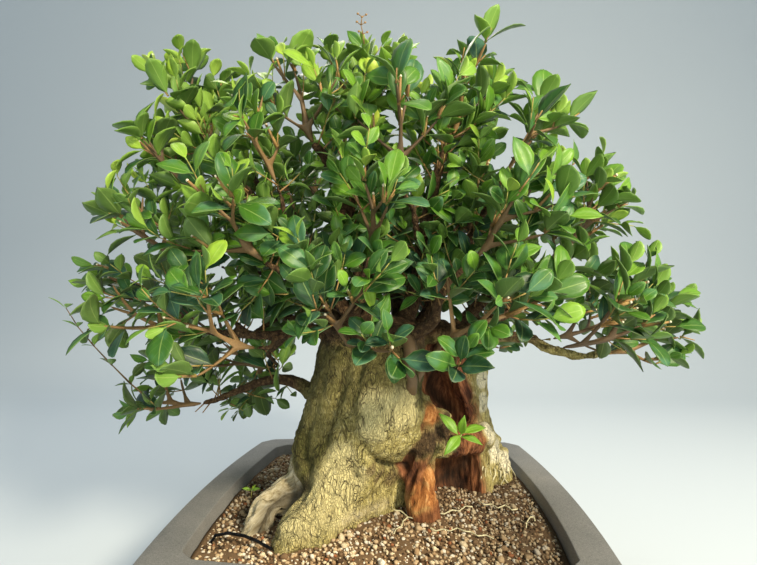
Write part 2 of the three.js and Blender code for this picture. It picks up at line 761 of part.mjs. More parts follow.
function leafShape(leaf) {
  const side = leaf.up.clone().cross(leaf.along);
  const width = leaf.length * (LEAF_WIDTH / LEAF_LENGTH);
  const at = (along, arch) =>
    leaf.base
      .clone()
      .addScaledVector(leaf.along, along * leaf.length)
      .addScaledVector(leaf.up, arch * leaf.length);
  const rings = LEAF_STATIONS.map(({ along, half, arch }) => {
    const middle = at(along, arch);
    const raised = middle.clone().addScaledVector(leaf.up, LEAF_FOLD * width);
    return [
      raised.clone().addScaledVector(side, half * width),
      raised.clone().addScaledVector(side, -half * width),
      middle.clone().addScaledVector(leaf.up, LEAF_FOLD * width - LEAF_THICKNESS * 1.6),
    ];
  });
  return { rings, tip: at(1, LEAF_TIP_ARCH) };
}

// A point lies in the share of the dome that is nearer to its own spray than to any other
function inShare(point, spray, sprays) {
  if (point.z < spray.floor) return false;
  const own = point.distanceTo(spray.site);
  return sprays.every((other) => other === spray || point.distanceTo(other.site) > own + 1.2);
}

function clearOfWood(a, b, room, wood) {
  return wood.every((piece) => segmentDistance(piece.a, piece.b, a, b) > piece.radius + room);
}

// Whether an edge runs through a face with which it shares no corner
const ray = new THREE.Ray();
const hit = new THREE.Vector3();

function edgeMeetsFace(growth, from, to, face) {
  if (face.includes(from) || face.includes(to)) return false;
  const [start, end] = [growth.points[from], growth.points[to]];
  const length = start.distanceTo(end);
  ray.origin.copy(start);
  ray.direction.copy(end).sub(start).divideScalar(length);
  const [a, b, c] = face.map((i) => growth.points[i]);
  return ray.intersectTriangle(a, b, c, false, hit) !== null && hit.distanceTo(start) <= length;
}

function facesCross(growth, first, second) {
  const edgesMeet = (edged, face) =>
    edged.some((from, k) => edgeMeetsFace(growth, from, edged[(k + 1) % 3], face));
  return edgesMeet(first, second) || edgesMeet(second, first);
}

function boxOf(growth, face) {
  return new THREE.Box3().setFromPoints(face.map((i) => growth.points[i])).expandByScalar(0.3);
}

// Makes a change to the growth, and takes it back if the new faces run into any others
function growIfClear(growth, change) {
  const before = { count: growth.points.length, faces: new Set(growth.faces) };
  change();
  const added = [...growth.faces].filter((face) => !before.faces.has(face));
  const whole = added.reduce((box, face) => box.union(boxOf(growth, face)), new THREE.Box3());
  const near = [...growth.faces].filter((face) => whole.intersectsBox(boxOf(growth, face)));
  const crosses = added.some((face) => near.some((other) => facesCross(growth, face, other)));
  if (!crosses) return true;
  growth.points.length = before.count;
  growth.faces = before.faces;
  return false;
}

// Grows a leaf out of three corners, if it fits: it closes with its tip
function growLeaf(growth, place, leaf, site) {
  const { rings, tip } = leafShape(leaf);
  const points = [...rings.flat(), tip];
  if (!points.every((p) => inShare(p, site.spray, site.sprays))) return false;
  const halfWidth = (leaf.length * LEAF_WIDTH) / LEAF_LENGTH / 2;
  const neck = leaf.base.clone().addScaledVector(leaf.along, leaf.length * 0.25);
  if (!clearOfWood(neck, tip, halfWidth, site.wood)) return false;
  return growIfClear(growth, () => {
    let corners = turnedTo(growth, place(), rings[0]);
    for (const ring of rings) {
      const upper = addRing(growth, ring);
      addSleeve(growth, corners, upper);
      corners = upper;
    }
    const end = growth.points.push(tip) - 1;
    corners.forEach((a, j) => growth.faces.add([a, corners[(j + 1) % 3], end]));
  });
}

// A direction square to a shoot, turned round it by an angle
function squareTo(direction, roll) {
  const helper = Math.abs(direction.z) < 0.8 ? UP : V(1, 0, 0);
  const a = direction.clone().cross(helper).normalize();
  const b = direction.clone().cross(a);
  return a.multiplyScalar(Math.cos(roll)).addScaledVector(b, Math.sin(roll));
}

function leaning(direction, across, lean) {
  const along = direction.clone().multiplyScalar(Math.cos(lean));
  return along.addScaledVector(across, Math.sin(lean)).normalize();
}

// Tries a leaf at its seat, then turned and shortened a little more each time, until it fits
const LEAF_TRIES = 12;

function tryLeaf(growth, place, { centre, direction, across }, lean, site) {
  const { random, spray } = site;
  for (let attempt = 0; attempt < LEAF_TRIES; attempt++) {
    const loose = 0.15 + 0.09 * attempt;
    const turned = across.clone().applyAxisAngle(direction, loose * 2 * (random() - 0.5));
    const along = leaning(direction, turned, lean + loose * (random() - 0.3));
    const up = UP.clone().addScaledVector(spray.out, 0.5).addScaledVector(direction, 0.9);
    up.addScaledVector(squareTo(along, random() * 2 * Math.PI), 0.3);
    up.addScaledVector(along, -up.dot(along)).normalize();
    const length = spray.leafLength * (0.92 + 0.22 * random() - 0.025 * attempt);
    if (growLeaf(growth, place, { base: centre, along, up, length }, site)) return;
  }
}

// Takes the side of a sleeve that best faces a direction, among those still free
function takeSide(growth, sides, direction) {
  const free = sides.filter((side) => !side.taken);
  const facing = (side) => outwardOf(growth, side).dot(direction);
  const best = free.reduce((most, side) => (facing(side) > facing(most) ? side : most));
  best.taken = true;
  return best;
}

function outwardOf(growth, side) {
  const [a, b, c] = side.corners.map((i) => growth.points[i]);
  return b.clone().sub(a).cross(c.clone().sub(a)).normalize();
}

// Grows a shoot out of three corners along a path. Node by node the plan puts a pair of leaves
// or twigs on it, each pair square to the last, and a leaf ends it. Leaves wait as buds until
// all the wood of the spray has grown.
function growShoot(growth, corners, path, radii, plan, site) {
  const start = centreOf(corners.map((i) => growth.points[i]));
  const toCorner = growth.points[corners[0]].clone().sub(start);
  let roll = site.random() * Math.PI;
  let direction = null;
  let before = start;
  let lower = corners;
  path.forEach((centre, k) => {
    direction = centre.clone().sub(before).normalize();
    toCorner.addScaledVector(direction, -toCorner.dot(direction)).normalize();
    const third = direction.clone().cross(toCorner);
    const upper = addRing(growth, ringAround(centre, toCorner, third, radii[k], 3));
    const sides = addSleeve(growth, lower, upper);
    for (const half of [0, 1]) {
      const across = squareTo(direction, roll + half * Math.PI);
      const side = takeSide(growth, sides, across);
      across.add(outwardOf(growth, side)).addScaledVector(direction, -across.dot(direction));
      plan[k][half](side, { centre, direction, across: across.normalize() });
    }
    roll += degrees(90);
    lower = upper;
    before = centre;
  });
  const face = [...lower];
  growth.faces.add(face);
  const seat = { centre: before, direction, across: squareTo(direction, roll) };
  const place = () => {
    growth.faces.delete(face);
    return lower;
  };
  site.buds.push(() => tryLeaf(growth, place, seat, degrees(14), site));
}

const TWIG_RADIUS = 1.7;
const TWIG_END_RADIUS = 1.1;

// The spray's stem carries a pair of twigs, then a twig and a leaf, then a pair of leaves
function buildSpray(spray, sprays, wood, index) {
  const random = randomFrom(100 + index);
  const site = { spray, sprays, wood, random, buds: [] };
  const start = spray.socket.clone().addScaledVector(spray.start, GAP);
  const end = spray.site.clone().addScaledVector(spray.out, spray.depth * 0.42);
  const third = end.distanceTo(start) / 3;
  const first = start.clone().addScaledVector(spray.start, third * 0.7);
  first.lerp(start.clone().lerp(end, 0.34), 0.4);
  const second = first.clone().lerp(end, 0.5).addScaledVector(squareTo(spray.out, 6 * random()), 3);
  const { growth, corners } = newGrowth(ringSquareTo(spray.start, start, spray.radius));
  const leafAt = (lean) => (side, seat) => {
    site.buds.push(() => tryLeaf(growth, () => openSide(growth, side), seat, lean, site));
  };
  const pair = [leafAt(degrees(58)), leafAt(degrees(58))];
  const lastPair = [leafAt(degrees(46)), leafAt(degrees(46))];
  const twigOf = (length) => (side, seat) => {
    const path = twigPath(seat, length, site);
    const radii = [TWIG_RADIUS, TWIG_END_RADIUS];
    const buds = site.buds.length;
    const grow = () => growShoot(growth, openSide(growth, side), path, radii, [pair, lastPair], site);
    if (path && !growIfClear(growth, grow)) site.buds.length = buds;
  };
  const radii = [mix(spray.radius, TWIG_RADIUS, 0.4), TWIG_RADIUS, TWIG_END_RADIUS];
  const full = [[twigOf(42), twigOf(42)], [twigOf(36), leafAt(degrees(60))], lastPair];
  const plan = spray.small ? [pair, pair, lastPair] : full;
  growShoot(growth, corners, [first, second, end], radii, plan, site);
  site.buds.forEach((bud) => bud());
  return solidFromGrowth(growth);
}

function ringSquareTo(direction, centre, radius) {
  const side = squareTo(direction, 0);
  return ringAround(centre, side, direction.clone().cross(side), radius, 3);
}

// A twig leans out from the stem and turns up to the light. It is tried at several turns.
const TWIG_TRIES = 12;

function twigPath({ centre, direction, across }, length, { random, spray, sprays, wood }) {
  for (let attempt = 0; attempt < TWIG_TRIES; attempt++) {
    const turned = across.clone().applyAxisAngle(direction, 0.24 * attempt * (random() - 0.5));
    const lean = degrees(56 + 16 * (random() - 0.5));
    const out = leaning(direction, turned, lean).addScaledVector(UP, 0.12).normalize();
    const reach = length * (0.9 + 0.25 * random()) * (1 - 0.05 * attempt);
    const middle = centre.clone().addScaledVector(out, reach * 0.58);
    const end = centre.clone().addScaledVector(out, reach).addScaledVector(UP, 3);
    const beyondStem = centre.clone().addScaledVector(out, 8);
    const inside = inShare(middle, spray, sprays) && inShare(end, spray, sprays);
    if (inside && clearOfWood(beyondStem, end, 3, wood)) return [middle, end];
  }
  return null;
}

function solidFromGrowth(growth) {
  return new wasm.Manifold(
    new wasm.Mesh({
      numProp: 3,
      vertProperties: new Float32Array(growth.points.flatMap((p) => [p.x, p.y, p.z])),
      triVerts: new Uint32Array([...growth.faces].flat()),
    }),
  );
}

// A young shoot of leaves grows from the dead wood in the hollow
function buildBaseShoot() {
  const foot = V(60, -36, 140);
  const top = V(65, -52, 150);
  const spray = { site: top, out: V(0, -1, 0), floor: 0, leafLength: LEAF_LENGTH * 0.68 };
  const site = { random: randomFrom(5), spray, sprays: [], wood: [], buds: [] };
  const direction = top.clone().sub(foot).normalize();
  const { growth, corners } = newGrowth(ringSquareTo(direction, foot, 1.6));
  const leaf = (side, seat) => {
    site.buds.push(() => tryLeaf(growth, () => openSide(growth, side), seat, degrees(80), site));
  };
  const path = [foot.clone().lerp(top, 0.7), top];
  growShoot(growth, corners, path, [1.4, 1.1], [[leaf, leaf], [leaf, leaf]], site);
  site.buds.forEach((bud) => bud());
  return largestBody(solidFromGrowth(growth).subtract(buildStump(GAP)));
}

// A dark end of tie wire comes out of the soil beside the front root
const WIRE_ROUTE = [V(-128, -92, 70), V(-122, -92, 84), V(-98, -98, 87), V(-74, -112, 85)];
const WIRE_RADIUS = 1.2;

function buildTieWire(margin) {
  const radius = WIRE_RADIUS + margin;
  return tube(WIRE_ROUTE, radius, radius, 5, 6);
}

// Put together
const LOOKS = {
  pot: { color: 0x8b8275, roughness: 0.75 },
  plate: { color: 0x20211f, roughness: 0.6 },
  soil: { color: 0x7d6244, roughness: 0.95 },
  wood: { color: 0xb5a66b, roughness: 0.85 },
  leaf: { color: 0x4f8a2b, roughness: 0.45 },
  wire: { color: 0x1d1e22, roughness: 0.5 },
};
const bonsai = new THREE.Group();

function addPart(name, solid, look) {
  const material = new THREE.MeshStandardMaterial({ ...LOOKS[look], metalness: 0 });
  const mesh = new THREE.Mesh(geometryOf(solid), material);
  mesh.name = name;
  bonsai.add(mesh);
}

const sprays = planSprays();
const { limbs, wood } = planLimbs(sprays);

addPart("pot", buildPot(), "pot");
addPart("drain_plate_left", buildDrainPlate(-DRAIN_SPACING / 2), "plate");
addPart("drain_plate_right", buildDrainPlate(DRAIN_SPACING / 2), "plate");
addPart("soil", buildSoil(buildTieWire(GAP)), "soil");
addPart("trunk_and_limbs", buildWood(limbs), "wood");
addPart("tie_wire_end", buildTieWire(0), "wire");
sprays.forEach((spray, i) => addPart(spray.name, buildSpray(spray, sprays, wood, i), "leaf"));
addPart("base_shoot", buildBaseShoot(), "leaf");

export default bonsai;
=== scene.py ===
# %% [markdown]
# # A privet bonsai
# An old privet stump, hollow and full of character, carries a broad dome of small oval leaves in a
# plain square pot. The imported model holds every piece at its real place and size, so it is loaded
# first, as a frame. Each following cell dresses one piece of it, or adds what is too fine for it.

# %% Load the frame
import math
import random
from collections import namedtuple
from contextlib import contextmanager

import bpy
import numpy as np
from mathutils import Matrix, Vector
from mathutils.bvhtree import BVHTree


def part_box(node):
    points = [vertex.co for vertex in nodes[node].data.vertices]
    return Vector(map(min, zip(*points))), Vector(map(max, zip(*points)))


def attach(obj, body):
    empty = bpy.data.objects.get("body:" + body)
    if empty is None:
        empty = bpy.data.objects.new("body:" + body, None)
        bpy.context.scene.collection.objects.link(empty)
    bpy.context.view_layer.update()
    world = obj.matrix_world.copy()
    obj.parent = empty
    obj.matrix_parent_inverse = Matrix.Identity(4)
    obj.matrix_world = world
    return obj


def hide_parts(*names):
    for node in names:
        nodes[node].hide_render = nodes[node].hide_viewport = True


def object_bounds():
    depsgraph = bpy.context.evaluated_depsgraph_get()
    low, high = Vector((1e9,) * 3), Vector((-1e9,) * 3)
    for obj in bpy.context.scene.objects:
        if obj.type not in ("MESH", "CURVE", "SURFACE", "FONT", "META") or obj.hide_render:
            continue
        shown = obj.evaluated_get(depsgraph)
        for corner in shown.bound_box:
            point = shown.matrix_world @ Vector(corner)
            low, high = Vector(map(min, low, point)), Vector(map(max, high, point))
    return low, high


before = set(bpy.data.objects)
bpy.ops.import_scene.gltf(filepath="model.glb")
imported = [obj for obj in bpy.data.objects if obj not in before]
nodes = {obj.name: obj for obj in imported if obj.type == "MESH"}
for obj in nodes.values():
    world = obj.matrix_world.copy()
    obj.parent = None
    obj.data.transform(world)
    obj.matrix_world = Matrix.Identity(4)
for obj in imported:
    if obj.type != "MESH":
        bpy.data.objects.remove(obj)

cad_low, cad_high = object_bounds()
print("packed nodes:", len(nodes))

# %% [markdown]
# Blender works in metres, and the pieces of a bonsai are measured in millimetres, so one value
# turns the one into the other. Colours are picked as they look on a screen, and Blender reckons
# with linear light, so one small function turns a picked colour into the linear one. All chance
# comes from seeded draws, so each run gives the same tree.

# %% Units, colours and chance
MM = 0.001
UP = Vector((0, 0, 1))


def colour(picked):
    """A colour picked as six hexadecimal digits, as linear light with full cover."""
    channels = [int(picked[i:i + 2], 16) / 255 for i in (0, 2, 4)]
    linear = [c / 12.92 if c <= 0.04045 else ((c + 0.055) / 1.055) ** 2.4 for c in channels]
    return (*linear, 1)


def jitter(draw, reach):
    """A short way at random, up to the reach along each axis."""
    return Vector([draw.uniform(-reach, reach) for _ in range(3)])


# %% [markdown]
# Blender's tools work on what is selected, and many of them in edit mode alone. These helpers
# select, open a mesh, apply a modifier and copy a piece. The last one gives a finished piece its
# name and its materials, and lets it ride on the tree's one body.

# %% Working on pieces


def only(*pieces):
    """These pieces alone are selected, and the first of them is the active one."""
    bpy.ops.object.select_all(action="DESELECT")
    for piece in pieces:
        piece.select_set(True)
    bpy.context.view_layer.objects.active = pieces[0]


@contextmanager
def edit_mode(piece):
    """Opens the whole mesh of a piece for editing, and closes it again."""
    only(piece)
    bpy.ops.object.mode_set(mode="EDIT")
    bpy.ops.mesh.select_all(action="SELECT")
    yield
    bpy.ops.object.mode_set(mode="OBJECT")


def pick(piece, wanted):
    """Selects the points of a piece in edit mode that are wanted, by number and place."""
    bpy.ops.mesh.select_mode(type="VERT")
    bpy.ops.mesh.select_all(action="DESELECT")
    bpy.ops.object.mode_set(mode="OBJECT")
    for vertex in piece.data.vertices:
        vertex.select = wanted(vertex.index, vertex.co)
    bpy.ops.object.mode_set(mode="EDIT")


def apply_modifiers(piece):
    only(piece)
    for modifier in list(piece.modifiers):
        bpy.ops.object.modifier_apply(modifier=modifier.name)


def reshape(piece, kind, **settings):
    """Gives a piece one modifier with its settings, and applies it."""
    modifier = piece.modifiers.new(kind, kind)
    for key, value in settings.items():
        setattr(modifier, key, value)
    apply_modifiers(piece)


def primitive(kind, **settings):
    """A new plane, grid, circle, cube, cylinder or ball, alone selected."""
    getattr(bpy.ops.mesh, f"primitive_{kind}_add")(**settings)
    return bpy.context.object


def linked(piece):
    """Puts a new piece into the scene."""
    bpy.context.scene.collection.objects.link(piece)
    return piece


def own_copy(piece):
    """A copy with a mesh of its own, that hangs from nothing and carries no marks."""
    twin = linked(piece.copy())
    twin.data = piece.data.copy()
    twin.parent = None
    for key in list(twin.keys()):
        del twin[key]
    return twin


def merged_copy(node, threshold=0.002 * MM):
    """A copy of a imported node, whose loose triangles are merged into one skin."""
    piece = own_copy(node)
    with edit_mode(piece):
        bpy.ops.mesh.remove_doubles(threshold=threshold)
    return piece


def discard(piece):
    bpy.data.objects.remove(piece)


def finished(piece, name, slot, *materials, replaced=()):
    """Names a piece, gives it its materials, and lets it ride on the tree's body. The slot is not used."""
    piece.name = name
    piece.data.name = name
    chosen = np.empty(len(piece.data.polygons), dtype=np.int32)
    piece.data.polygons.foreach_get("material_index", chosen)
    piece.data.materials.clear()
    for material in materials:
        piece.data.materials.append(material)
    piece.data.polygons.foreach_set("material_index", chosen)
    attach(piece, "root")
    if replaced:
        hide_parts(*replaced)
    piece.data.calc_loop_triangles()
    print(f"{name}: {len(piece.data.loop_triangles)} triangles")


# %% [markdown]
# The photo was taken from close by, a little above the soil, looking slightly up into the dome and
# slightly to the left. The lens is short, so the near rim of the pot spreads wide. The focal length
# in pixels and the point where the view is level were read off the lines of the pot's rim.

# %% Camera
PICTURE_WIDTH = 757
PICTURE_HEIGHT = 565
FOCAL_PIXELS = 482
LEVEL_PIXEL = (403, 308)
EYE = Vector((18, -453.5, 253)) * MM
SENSOR_WIDTH = 36
NEAREST_SEEN = 10 * MM

camera_data = bpy.data.cameras.new("camera")
camera = linked(bpy.data.objects.new("camera", camera_data))
camera_data.sensor_width = SENSOR_WIDTH
camera_data.lens = SENSOR_WIDTH * FOCAL_PIXELS / PICTURE_WIDTH
camera_data.clip_start = NEAREST_SEEN
yaw = math.atan((LEVEL_PIXEL[0] - PICTURE_WIDTH / 2) / FOCAL_PIXELS)
pitch = math.atan((LEVEL_PIXEL[1] - PICTURE_HEIGHT / 2) / FOCAL_PIXELS)
look = Vector((-math.sin(yaw) * math.cos(pitch), math.cos(yaw) * math.cos(pitch), math.sin(pitch)))
camera.location = EYE
camera.rotation_euler = look.to_track_quat("-Z", "Y").to_euler()
bpy.context.scene.camera = camera
print(f"lens: {camera_data.lens:.1f} mm")

# %% [markdown]
# A finish is a small network of shader nodes. One helper adds a node and sets or links its inputs
# in a single call, so that each finish below reads from top to bottom. The scale of a noise or of
# cracks is how many of them go into a metre.

# %% Shader helper


class Finish:
    """A material under construction, with its nodes and its main shader."""

    def __init__(self, name):
        self.material = bpy.data.materials.new(name)
        self.material.use_nodes = True
        self.tree = self.material.node_tree
        self.shader = self.tree.nodes["Principled BSDF"]

    def node(self, kind, inputs=(), **settings):
        made = self.tree.nodes.new("ShaderNode" + kind)
        for key, value in settings.items():
            setattr(made, key, value)
        for key, value in dict(inputs).items():
            self.set(made.inputs[key], value)
        return made

    def set(self, socket, value):
        if isinstance(value, bpy.types.NodeSocket):
            self.tree.links.new(value, socket)
        else:
            socket.default_value = colour(value) if isinstance(value, str) else value

    def place(self, stretch=(1, 1, 1)):
        """Points on the object itself, in metres, squeezed or stretched along its axes."""
        object_place = self.node("TexCoord").outputs["Object"]
        return self.node("Mapping", {"Vector": object_place, "Scale": stretch}).outputs[0]

    def noise(self, place, scale, detail=4, roughness=0.6):
        inputs = {"Vector": place, "Scale": scale, "Detail": detail, "Roughness": roughness}
        return self.node("TexNoise", inputs).outputs["Fac"]

    def wander(self, place, scale, amount):
        """The same points, each shifted a little by noise, so that lines drawn on them waver."""
        shift = self.node("TexNoise", {"Vector": place, "Scale": scale, "Detail": 2}).outputs["Color"]
        moved = self.node("VectorMath", operation="MULTIPLY_ADD")
        for socket, value in zip(moved.inputs, (shift, (amount, amount, amount), place)):
            self.set(socket, value)
        return moved.outputs["Vector"]

    def cracks(self, place, scale, width):
        """Thin lines that part the surface into cells, 1 in their middle and 0 beside them."""
        inputs = {"Vector": place, "Scale": scale}
        from_edge = self.node("TexVoronoi", inputs, feature="DISTANCE_TO_EDGE").outputs["Distance"]
        return self.span(from_edge, 0.0, width, 1.0, 0.0)

    def attribute(self, name, field="Fac"):
        """What the mesh says at a place under a name, as a number unless told otherwise."""
        return self.node("Attribute", attribute_name=name).outputs[field]

    def ramp(self, value, *stops, smooth=True):
        """Colours laid out along a value from 0 to 1: each stop is a place and a picked colour."""
        made = self.node("ValToRGB", {"Fac": value})
        made.color_ramp.interpolation = "LINEAR" if smooth else "CONSTANT"
        elements = made.color_ramp.elements
        elements.remove(elements[-1])
        elements[0].position = stops[0][0]
        elements[0].color = colour(stops[0][1])
        for place, picked in stops[1:]:
            elements.new(place).color = colour(picked)
        return made.outputs["Color"]

    def blend(self, amount, first, second):
        """The second colour laid over the first, as thickly as the amount says."""
        made = self.node("Mix", data_type="RGBA")
        self.set(made.inputs["Factor"], amount)
        self.set(made.inputs[6], first)
        self.set(made.inputs[7], second)
        return made.outputs[2]

    def math(self, operation, first, second=0.5, clamp=False):
        made = self.node("Math", operation=operation, use_clamp=clamp)
        self.set(made.inputs[0], first)
        self.set(made.inputs[1], second)
        return made.outputs[0]

    def times(self, first, second):
        return self.math("MULTIPLY", first, second)

    def span(self, value, low, high, to_low=0, to_high=1):
        """A value spread from one range to another, and held at the ends."""
        inputs = {"Value": value, "From Min": low, "From Max": high, "To Min": to_low, "To Max": to_high}
        return self.node("MapRange", inputs, clamp=True).outputs["Result"]

    def bump(self, height, distance, strength=1.0, after=None):
        inputs = {"Height": height, "Distance": distance, "Strength": strength}
        if after is not None:
            inputs["Normal"] = after
        return self.node("Bump", inputs).outputs["Normal"]

    def done(self, **inputs):
        for key, value in inputs.items():
            self.set(self.shader.inputs[key.replace("_", " ")], value)
        return self.material


# %% [markdown]
# The tree stands on a plain pale floor that sweeps up behind it, as in a photo studio. The key
# light is warm and stands high at the front right, a weak one low in front opens the shade, and one
# high behind rims the dome. The even pale sky round it all lifts the shadows among the leaves.

# %% Floor and light
FLOOR_HALF = 3.0
SWEEP_AT = 1.7
SWEEP_RISE = 3.0
SWEEP_ROUND = 0.8
LIGHTS = [
    ("key", (1.0, -1.15, 1.05), 0.35, 47, "fff1d6"),
    ("fill", (0.15, -1.6, 0.34), 0.8, 8, "f6f5ea"),
    ("back", (-0.3, 0.8, 1.5), 0.9, 13, "fff8ec"),
]
AIM = Vector((0, 0, 0.25))
SKY_COLOUR = "d6e6f0"
SKY_STRENGTH = 0.5

floor = primitive("plane", size=2 * FLOOR_HALF, location=(0, SWEEP_AT - FLOOR_HALF, 0))
with edit_mode(floor):
    pick(floor, lambda _, place: place.y > FLOOR_HALF * 0.9)
    bpy.ops.mesh.select_mode(type="EDGE")
    bpy.ops.mesh.extrude_region_move(TRANSFORM_OT_translate={"value": (0, 0, SWEEP_RISE)})
reshape(floor, "BEVEL", width=SWEEP_ROUND, segments=16)
bpy.ops.object.shade_smooth()
floor.name = "floor"
floor.data.materials.append(Finish("pale_paper").done(Base_Color="c9d2d8", Roughness=0.9))

for name, place, size, power, tint in LIGHTS:
    data = bpy.data.lights.new(name, "AREA")
    data.shape = "DISK"
    data.size = size
    data.energy = power
    data.color = colour(tint)[:3]
    light = linked(bpy.data.objects.new(name, data))
    light.location = place
    light.rotation_euler = (AIM - light.location).to_track_quat("-Z", "Y").to_euler()

sky = bpy.data.worlds.new("sky")
sky.use_nodes = True
background = sky.node_tree.nodes["Background"]
background.inputs["Color"].default_value = colour(SKY_COLOUR)
background.inputs["Strength"].default_value = SKY_STRENGTH
bpy.context.scene.world = sky
bpy.context.scene.view_settings.view_transform = "Standard"

# %% [markdown]
# The pot is unglazed and brown-grey, with a fine speckle in the clay and a dusty bloom on it. Two
# noises of different grain give the speckle and the cloudy bloom, and a faint bump the dry skin.

# %% Pot finish
clay = Finish("unglazed_clay")
clay_place = clay.place()
clay_cloud = clay.noise(clay_place, 14, 5)
clay_speckle = clay.noise(clay_place, 1300, 2)
clay_body = clay.ramp(clay_cloud, (0.3, "636463"), (0.52, "7a7a78"), (0.75, "8f8d89"))
SPECKLES = [(0.33, "3b3a38"), (0.46, "82817d"), (0.62, "9a9892"), (0.72, "cbc7bf")]
clay_grains = clay.ramp(clay_speckle, *SPECKLES)
clay_colour = clay.blend(0.3, clay_body, clay_grains)
clay_skin = clay.bump(clay_speckle, 0.25 * MM, 0.6)
pot_material = clay.done(
    Base_Color=clay_colour,
    Roughness=clay.span(clay_cloud, 0.3, 0.7, 0.62, 0.85),
    Normal=clay.bump(clay.noise(clay_place, 90, 3), 0.8 * MM, 0.35, clay_skin),
)

# %% [markdown]
# The soil is loose grit: fired clay crumbs, bits of bark and a few stones. Every crumb carries a
# number of its own, from 0 to 1, and a row of colours turns the number into tan, cream, rust, grey
# or dark brown. At the right and at the back the soil is painted darker, as painted shade where the
# crown's shadow falls.

# %% Soil finish
grit = Finish("grit")
grit_place = grit.place()
crumb = grit.attribute("tint")
GRIT_COLOURS = (
    (0.0, "4a3b2d"), (0.08, "80674c"), (0.22, "b0926e"), (0.38, "d3b891"), (0.56, "eedbb6"),
    (0.8, "a86c48"), (0.83, "bbb29e"), (0.86, "faf2de"),
)
crumb_colour = grit.ramp(crumb, *GRIT_COLOURS, smooth=False)
crumb_dust = grit.noise(grit_place, 900, 3)
soil_spot = grit.node("SeparateXYZ", {"Vector": grit.wander(grit_place, 22, 30 * MM)})
# The soil is painted darker at the right and at the back: painted shade where the crown's shadow falls.
soil_shade_across = grit.span(soil_spot.outputs["X"], 40 * MM, 120 * MM)
soil_shade_back = grit.span(soil_spot.outputs["Y"], -100 * MM, -30 * MM)
painted_soil_shade = grit.math("MAXIMUM", soil_shade_across, grit.times(soil_shade_back, 0.7))
dusty = grit.blend(grit.span(crumb_dust, 0.35, 0.7, 0.0, 0.3), crumb_colour, "7a6147")
# The painted shade darkens the crumbs towards dark brown.
grit_material = grit.done(
    Base_Color=grit.blend(grit.times(painted_soil_shade, 0.65), dusty, "33291f"),
    Roughness=0.95,
    Specular_IOR_Level=0.15,
    Normal=grit.bump(crumb_dust, 0.4 * MM, 0.7),
)

# %% [markdown]
# Old privet bark is pale olive-yellow, wrinkled by fine dark fissures, and darker brown on the
# limbs. The dead wood has lost its bark: it is grey-cream where the sun bleached it, and dark red
# to orange where it rots in the hollow. High up and at the left the bark is darker and greener: a
# film of green algae in patches, and painted shade over the top, in the crown's shadow, and over
# the left side. The palest bark stays free of it. On the lobe, the front foot and the living strip
# the bark is paler, partly of its own and partly as painted light where the sun falls, and the strip
# is painted paler still, as painted light. Grooves and cavities are painted near black as painted
# shade. The mesh says how much of each kind a place is, how warm the rot is there, and which way
# the grain runs, and the finish mixes the looks by it.

# %% Wood finish
wood = Finish("bark_and_dead_wood")
wood_place = wood.place()
bark_place = wood.wander(wood.place((1, 1, 0.34)), 110, 8 * MM)
kinds = wood.node("SeparateColor", {"Color": wood.attribute("kind", "Color")})
rotten = kinds.outputs["Red"]
bleached = kinds.outputs["Green"]
limb_bark = kinds.outputs["Blue"]
# How much painted shade a place gets, in its grooves, its cavities and the crown's shadow; the lump is
# darkened with it.
shade_amount = wood.attribute("painted_shade_and_lump")
warmth = wood.attribute("warmth")
# How pale the bark is: partly its own pale colour, partly painted light where the sun falls; above 1 on
# the strip, painted light.
pale_and_lit = wood.attribute("pale_and_lit")
# How much algae film and painted shade lie on the bark, high up and at the left.
film_and_shade = wood.attribute("film_and_shade")
grain_place = wood.attribute("grain", "Vector")

mottle = wood.noise(wood_place, 210, 6, 0.68)
patches = wood.noise(wood_place, 26, 4, 0.55)
grain = wood.noise(grain_place, 330, 6, 0.66)
broken = wood.span(wood.noise(bark_place, 150, 4), 0.42, 0.6)
fissures = wood.times(wood.cracks(bark_place, 290, 0.1), broken)
fine_fissures = wood.cracks(bark_place, 640, 0.18)

olive = wood.ramp(mottle, (0.32, "8c7f46"), (0.45, "b4a665"), (0.57, "c8bb7b"), (0.7, "e0d5a2"))
# The dark olive of the algae film, also used as painted shade high up and at the left.
film_and_shade_green = wood.ramp(mottle, (0.32, "3b3a1c"), (0.5, "5c592c"), (0.7, "817a45"))
patchy = wood.span(patches, 0.46, 0.66, -0.1, 0.45)
film_and_shade_amount = wood.math("ADD", patchy, wood.times(film_and_shade, 0.85), clamp=True)
film_and_shade_amount = wood.times(film_and_shade_amount, wood.math("SUBTRACT", 1.0, pale_and_lit))
bark = wood.blend(film_and_shade_amount, olive, film_and_shade_green)
# Paler bark where the sun falls, partly its own colour and partly painted light; the strip is painted
# paler still, as painted light.
bark = wood.blend(wood.times(pale_and_lit, 0.6), bark, "eadda4")
bark = wood.blend(wood.span(pale_and_lit, 1.0, 1.6, 0.0, 0.8), bark, "fdf5d6")
bark = wood.blend(wood.times(fine_fissures, 0.3), bark, "6e6238")
bark = wood.blend(wood.times(fissures, 0.85), bark, "352c18")
dark_rot = wood.ramp(grain, (0.3, "1a120f"), (0.44, "46281c"), (0.56, "74452e"), (0.72, "a06c4a"))
light_rot = wood.ramp(grain, (0.28, "45240f"), (0.42, "8a5429"), (0.55, "b57a43"), (0.72, "d9ab72"))
rot = wood.blend(warmth, dark_rot, light_rot)
grey_wood = wood.ramp(grain, (0.28, "6a5d47"), (0.42, "b5a680"), (0.56, "d8ccaa"), (0.74, "ece4cb"))
brown = wood.ramp(mottle, (0.3, "33251a"), (0.47, "5c4630"), (0.6, "806545"), (0.75, "a48a63"))
brown = wood.blend(wood.times(fine_fissures, 0.4), brown, "2e2013")
mixed = wood.blend(limb_bark, bark, brown)
mixed = wood.blend(bleached, mixed, grey_wood)
